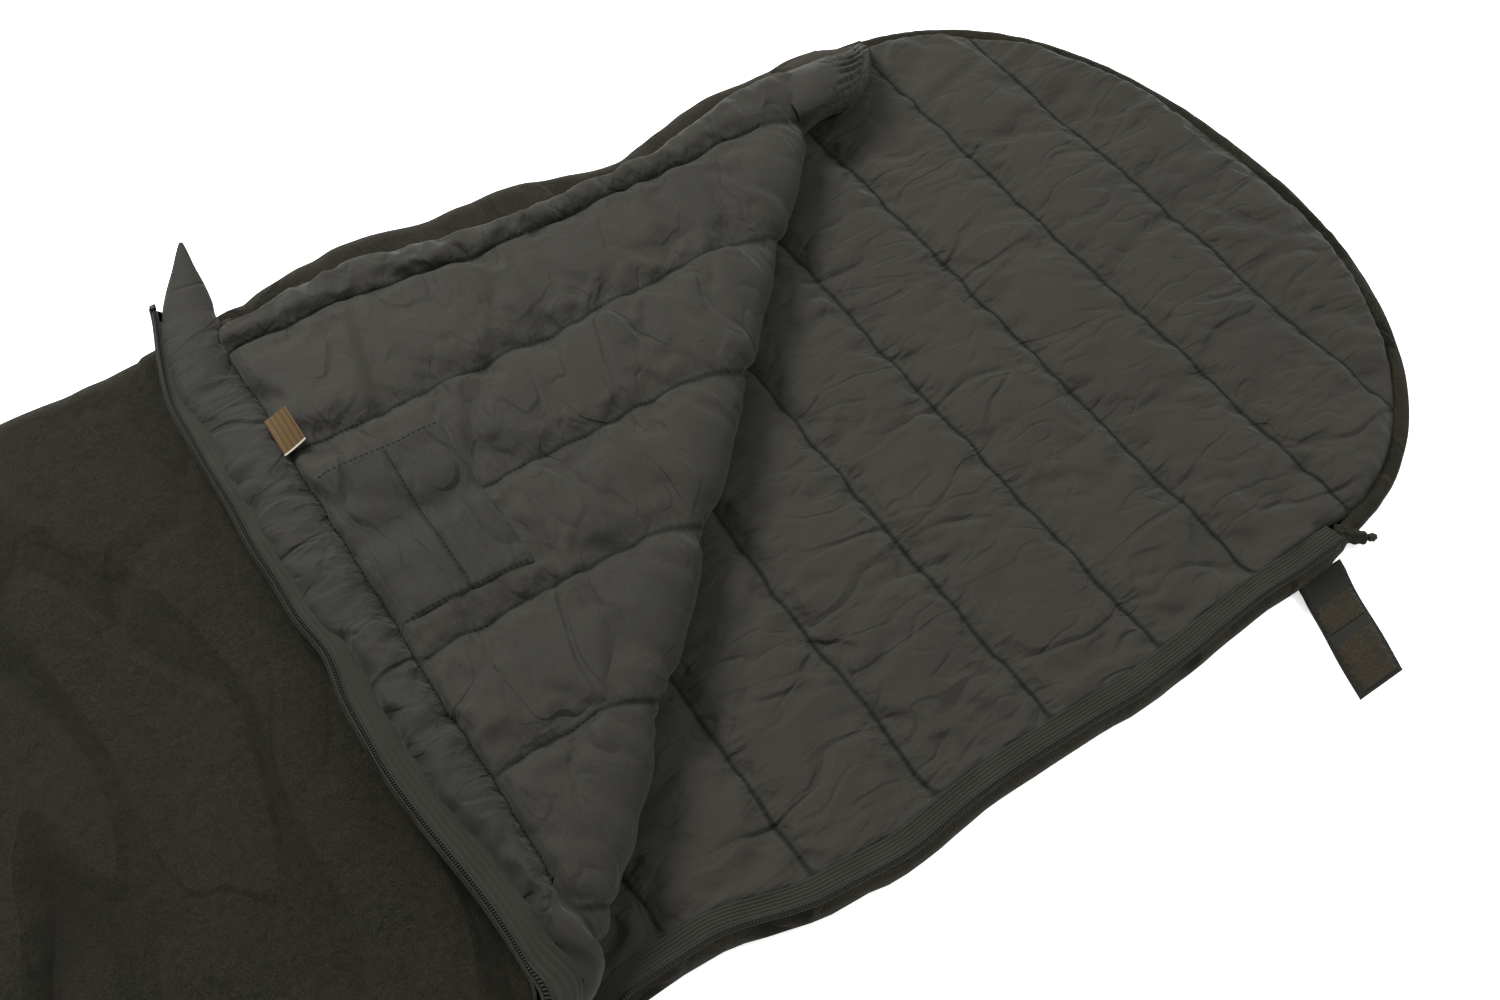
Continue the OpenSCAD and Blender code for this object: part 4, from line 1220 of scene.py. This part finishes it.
def care_label():
    low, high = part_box("care_label")
    us, vs = np.linspace(0, 1, 22), np.linspace(0, 1, 12)
    u, v = grid(us, vs)
    x = low.x + u * (high.x - low.x)
    y = low.y - 0.006 + v * (high.y - low.y + 0.006)
    z = HINGE_Z + 0.0290 + 0.0090 * v**1.3 + 0.0016 * np.sin(u * 3.0 + 0.4) + 0.002 * u * v
    edge = (1 - u) * (high.x - low.x)
    obj = sweep("woven_care_label", np.stack([x, y, z], -1), MAT["label"],
                attributes={"seam": edge.ravel()}, levels=1)
    thicken(obj, 0.0009)
    settle(obj, "label_fabric", "care_label", body="flap")


def strap():
    """Webbing tab, its root tucked under the base's edge, with two hook-and-loop fields."""
    x0, x1 = STRAP_LOW.x - 0.012, STRAP_HIGH.x
    root_y = joint_place("strap_fold")[1]
    lean = (STRAP_HIGH.y - STRAP_LOW.y) - 0.062
    half = 0.031
    length = x1 - STRAP_LOW.x

    def place(along, across, lift):
        d = along * (x1 - x0) - 0.012
        bend = 0.012 * np.exp(-np.maximum(d, 0) / 0.018)
        curl = 0.0022 * np.sin(np.clip(d / length, 0, 1) * 4.2)
        y = root_y - lean * d / length + across * half * (1 + 0.02 * np.cos(9 * along))
        z = 0.0022 + bend * 0.5 + curl * 0.4 + lift
        return np.stack([x0 + along * (x1 - x0) + 0 * y, y, z + 0 * y], -1)

    def ribbon(name, a, b, half_share, low, high, material, rough_edge=0.0, columns=15):
        rings = []
        for along in np.linspace(a, b, 42):
            ragged = 1 + rough_edge * noise(along, 0.0, 0.02, 71)
            cross = np.linspace(-half_share, half_share, columns)
            top = place(along, cross * ragged, high)
            bottom = place(along, cross[::-1] * ragged, low)
            top[0, 2] -= (high - low) * 0.35
            top[-1, 2] -= (high - low) * 0.35
            rings.append(np.concatenate([top, bottom]))
        return sweep(name, rings, material, closed_ring=True, caps=True)

    web = ribbon("neck_strap_webbing", 0, 1, 1.0, 0.0, 0.0019, MAT["web"])
    total = x1 - x0

    def share(distance):
        return (distance + 0.012) / total

    big = ribbon("strap_hook_field", share(length - 0.055), share(length - 0.004), 0.80, 0.0019, 0.0032,
                 MAT["hook"], 0.05)
    small = ribbon("strap_loop_field", share(0.018), share(0.047), 0.86, 0.0019, 0.0031, MAT["hook"], 0.08)
    edges = []
    for side in (-0.93, 0.93):
        edges.append(np.array([place(a, side, 0.0021) for a in np.linspace(0.12, 0.99, 60)]))
    threads = stitches("strap_stitches", edges)
    settle(web, "trim_fabric", "neck_strap", body="strap")
    settle(big, "hook_and_loop", "strap_hook_patch", body="strap")
    settle(small, "hook_and_loop", "strap_loop_patch", body="strap")
    settle(threads, "trim_fabric", body="strap")


def tube_tip():
    """The draft tube's free end: it runs on past the neck hem and tapers to a raised point."""
    mouth_x, seam_y = FOLD_SUM - HEM_END_Y, FOLD_SUM - TUBE_IN_X
    rest = HINGE_Z + 0.0185
    way = [(mouth_x + 0.078, seam_y - 0.034, rest), (mouth_x + 0.030, seam_y - 0.027, rest + 0.001),
           (mouth_x - 0.030, seam_y - 0.008, rest + 0.006), (mouth_x - 0.105, seam_y + 0.021, rest + 0.027)]
    ts = np.linspace(0, 1, 44)
    half_wide = curve([0.0290, 0.0325, 0.0270, 0.0022], ts)
    half_deep = curve([0.0130, 0.0180, 0.0120, 0.0012], ts)
    rings = []
    for t, centre, wide, deep in zip(ts, curve(way, ts), half_wide, half_deep):
        ring = []
        for a in np.linspace(0, 2 * np.pi, 36, endpoint=False):
            dent = 1 + 0.05 * noise(t * 0.35, math.sin(a) * 0.02, 0.03, 81) - 0.10 * bump(1.9, 0.35, a) * t
            out, up = math.cos(a) * wide * dent, math.sin(a) * deep * dent
            ring.append(centre + np.array([0.29 * out, 0.957 * out, up]))
        rings.append(ring)
    obj = sweep("draft_tube_tip", rings, MAT["tube"], closed_ring=True, caps=True,
                attributes={"seam": np.ones(44 * 36)}, levels=1)
    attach(obj, "flap")
    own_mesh(obj)


def neck_pleats():
    """The neck tube's gathered end, drawn down over the fold to the far corner of the neck."""
    x, y, top = -HALF_W, NECK_Y, HINGE_Z
    end = (x + 0.012, y + 0.049, 0.024)
    outer = [(x + 0.053, y - 0.150, top + 0.013), (x + 0.057, y - 0.085, top + 0.019),
             (x + 0.068, y - 0.031, top + 0.021), (x + 0.042, y + 0.007, top - 0.003), end]
    crest = [(x + 0.095, y - 0.150, top + 0.030), (x + 0.094, y - 0.095, top + 0.037),
             (x + 0.096, y - 0.045, top + 0.029), (x + 0.068, y - 0.002, top + 0.005), end]
    inner = [(x + 0.134, y - 0.150, top + 0.019), (x + 0.136, y - 0.110, top + 0.021),
             (x + 0.120, y - 0.063, top + 0.011), (x + 0.084, y - 0.013, top - 0.011), end]
    foot = [(x + 0.125, y - 0.145, top - 0.028), (x + 0.102, y - 0.095, top - 0.039),
            (x + 0.098, y - 0.045, top - 0.043), (x + 0.070, y + 0.010, top - 0.045), end]
    us, vs = np.linspace(0, 1, 60), np.linspace(0, 1, 96)
    guides = np.array([curve(g, us) for g in (outer, crest, inner, foot)])
    under = guides[0] + np.array([0.004, 0.0, -0.020])
    sheet = curve(np.concatenate([under[None], guides]), vs).transpose(1, 0, 2)
    along, side = np.gradient(sheet, axis=0), np.gradient(sheet, axis=1)
    normal = np.cross(side, along)
    normal /= np.maximum(np.linalg.norm(normal, axis=-1, keepdims=True), 1e-9)
    normal *= np.where(normal[..., 2:].mean() < 0, -1, 1)
    u, v = grid(us, vs)
    folds = np.abs(np.sin(np.pi * (14.0 * v + 0.35 * noise(v, u * 0.3, 0.25, 91)))) ** 0.7
    drawn = smooth(0.24, 0.50, u) * smooth(0.22, 0.50, v) * (1 - 0.4 * smooth(0.85, 1.0, u))
    sunk = 0.004 * smooth(0.12, 0.0, u)
    height = 0.0075 * (folds - 0.7) * drawn + 0.0012 * noise(u, v, 0.12, 92) - sunk
    sheet = sheet + normal * height[..., None]
    # painted shade: the seam value is set low in the pleats' valleys, so the lining material darkens them
    dark = np.where(drawn > 0.15, 0.0016 + 0.009 * folds / np.maximum(drawn, 0.3), 1.0)
    obj = sweep("neck_corner_pleats", sheet, MAT["collar"], attributes={"seam": dark.ravel()}, levels=1)
    settle(obj, "lining_fabric", bend=("bag", "flap", end, (x + 0.095, y - 0.060, top + 0.025)))

    rise = curve(outer, us)
    edge_y = np.linspace(y - 0.130, y + 0.056, len(us))
    low = smooth(0.35, 1.0, us)
    edge = np.stack([0.001 - far_half(edge_y), edge_y, 0.036 - 0.020 * low], -1)
    shoulder = np.stack([0.022 - far_half(edge_y), edge_y, 0.066 - 0.046 * low], -1)
    guides = [edge, shoulder, rise + (0.0, 0.0, -0.003), rise + (0.012, 0.0, -0.022)]
    sheet = curve(guides, np.linspace(0, 1, 24))
    strip = sweep("neck_corner_shell", sheet, MAT["shell"], levels=1)
    settle(strip, "shell_fabric",
           bend=("bag", "flap", (x + 0.010, y - 0.035, 0.035), (x + 0.060, y - 0.035, 0.085)))


def drawcord():
    """The cord inside the hood's channel, and its end poking out at the zip side of the neck."""
    angles = np.linspace(0, np.pi, 90)
    rings = []

    def ring(centre, ahead, radius):
        ahead = np.asarray(ahead, float) / max(np.linalg.norm(ahead), 1e-9)
        side = np.array([-ahead[1], ahead[0], 0.0])
        return [centre + side * (radius * math.cos(a)) + np.array([0, 0, radius * math.sin(a)])
                for a in np.linspace(0, 2 * np.pi, 10, endpoint=False)]

    path = [np.array([0.4600, NECK_Y + 0.036, 0.013]), np.array([0.4480, NECK_Y + 0.014, 0.013])]
    for a in angles:
        y = NECK_Y + 0.006 + (CROWN_Y - NECK_Y - 0.016) * math.sin(a)
        near, far = half_widths(y, 0.009)
        shape = abs(math.cos(a))
        x = float(near) if math.cos(a) > 0 else -float(far)
        if shape < 0.05:
            continue
        path.append(np.array([x, y, 0.011]))
    for k, centre in enumerate(path):
        ahead = path[min(k + 1, len(path) - 1)] - path[max(k - 1, 0)]
        rings.append(ring(centre, ahead, 0.0021))
    cord = sweep("hood_drawcord", rings, MAT["cord"], closed_ring=True, caps=True)
    settle(cord, "cord", "drawcord", body="hood")
    centre, rings = path[0], []
    for t in np.linspace(-1, 1, 12):
        radius = 0.0046 * math.sqrt(max(1 - t * t, 0.0)) * (1 + 0.12 * math.sin(9 * t)) + 0.0002
        rings.append(ring(centre + np.array([0.4, 0.9, 0.0]) * (0.006 * t), (0.4, 0.9, 0), radius))
    knot = sweep("cord_end_knot", rings, MAT["cord"], closed_ring=True, caps=True)
    settle(knot, "cord", "cord_knot", body="hood")


def hem_end():
    """Puckered end of the drawcord channel at the zip side of the neck."""
    rings = []
    start, stop = np.array([0.434, NECK_Y + 0.004, 0.0150]), np.array([0.458, NECK_Y + 0.031, 0.0125])
    for t in np.linspace(0, 1, 22):
        radius = 0.0100 * (1 - 0.35 * t) * (1 + 0.10 * math.sin(22 * t)) * (1 if t < 0.95 else 0.8)
        ring = []
        for a in np.linspace(0, 2 * np.pi, 30, endpoint=False):
            r = radius * (1 + 0.10 * math.sin(7 * a + 3 * t))
            side = np.array([-0.75, 0.66, 0.0])
            middle = start * (1 - t) + stop * t
            ring.append(middle + side * (r * math.cos(a)) + np.array([0, 0, r * math.sin(a)]))
        rings.append(ring)
    obj = sweep("hood_hem_end", rings, MAT["shell"], closed_ring=True, caps=True, levels=1)
    settle(obj, "shell_fabric", body="hood")


def landing_patch():
    low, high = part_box("strap_landing_patch")
    us, vs = np.linspace(0, 1, 30), np.linspace(0, 1, 26)
    u, v = grid(us, vs)
    x_closed = FOLD_SUM - high.y + 0.004 + u * (high.y - low.y - 0.03)
    y_closed = FOLD_SUM - high.x + 0.002 + v * 0.044
    z = shell_top(x_closed, y_closed) + 0.0009
    z = np.minimum(z, HINGE_Z - 0.0004)
    obj = sweep("strap_landing_field", folded_flat(x_closed, y_closed, z), MAT["hook"])
    thicken(obj, 0.0010)
    settle(obj, "hook_and_loop", "strap_landing_patch", body="flap")


def dress_cad_parts():
    """Finishes for the CAD parts that stay as they are."""
    finishes = {
        "zip_slider": "metal", "zip_pull_outer": "metal", "zip_pull_inner": "metal",
        "zip_bottom_stop": "metal", "cord_lock_barrel": "lock", "cord_lock_plunger": "lock",
        "cord_lock_spring": "steel", "cord_tail": "cord",
    }
    for node, finish in finishes.items():
        obj = frame["nodes"][node]
        obj.data.materials.clear()
        obj.data.materials.append(MAT[finish])


# ---- Stage, light and camera ------------------------------------------------------------


CAMERA_PLACE = (0.8026, -0.2756, 1.3582)
CAMERA_AZIMUTH, CAMERA_PITCH, CAMERA_ROLL = (math.radians(a) for a in (-55.05, 55.83, 1.084))
CAMERA_LENS = 36.30
WORLD_STRENGTH = 0.62
EXPOSURE = 0.35
FLOOR_REACH, FLOOR_Z = 14.0, -0.0008


def stage():
    mesh = bpy.data.meshes.new("floor")
    r, z = FLOOR_REACH, FLOOR_Z
    mesh.from_pydata([(-r, -r, z), (r, -r, z), (r, r, z), (-r, r, z)], [], [(0, 1, 2, 3)])
    floor = add_object("floor", mesh)
    mesh.materials.append(floor_material())

    world = bpy.data.worlds.new("studio")
    bpy.context.scene.world = world
    world.use_nodes = True
    background = world.node_tree.nodes["Background"]
    background.inputs["Color"].default_value = (1.0, 1.0, 1.0, 1.0)
    background.inputs["Strength"].default_value = WORLD_STRENGTH

    def lamp(name, place, target, size, power):
        data = bpy.data.lights.new(name, "AREA")
        data.shape = "DISK"
        data.size = size
        data.energy = power
        obj = add_object(name, data)
        obj.location = place
        obj.rotation_euler = (Vector(target) - Vector(place)).to_track_quat("-Z", "Y").to_euler()

    lamp("key", (-2.0, -0.45, 2.4), (0, 0.1, 0), 1.3, 118)
    lamp("fill", (1.2, 1.9, 2.4), (0, 0.2, 0), 2.0, 30)
    bpy.context.scene.view_settings.view_transform = "Standard"
    bpy.context.scene.view_settings.exposure = EXPOSURE


def camera():
    data = bpy.data.cameras.new("camera")
    obj = add_object("camera", data)
    azimuth, pitch, roll = CAMERA_AZIMUTH, CAMERA_PITCH, CAMERA_ROLL
    level = math.cos(pitch)
    ahead = Vector((math.sin(azimuth) * level, math.cos(azimuth) * level, -math.sin(pitch)))
    right = ahead.cross(Vector((0, 0, 1))).normalized()
    up = right.cross(ahead)
    tilted_right = right * math.cos(roll) + up * math.sin(roll)
    tilted_up = -right * math.sin(roll) + up * math.cos(roll)
    turn = Matrix((tilted_right, tilted_up, -ahead)).transposed()
    obj.matrix_world = Matrix.Translation(CAMERA_PLACE) @ turn.to_4x4()
    data.sensor_width = 36.0
    data.lens = CAMERA_LENS
    data.clip_start = 0.05
    bpy.context.scene.camera = obj


base_lining()
base_shell()
foot_edge()
base_zip()
cover_zip()
flap_surface = cover_underside()
flap_zip()
lower_cover()
flap_shell()
pocket(flap_surface)
care_label()
strap()
tube_tip()
neck_pleats()
drawcord()
hem_end()
landing_patch()
dress_cad_parts()
stage()
camera()
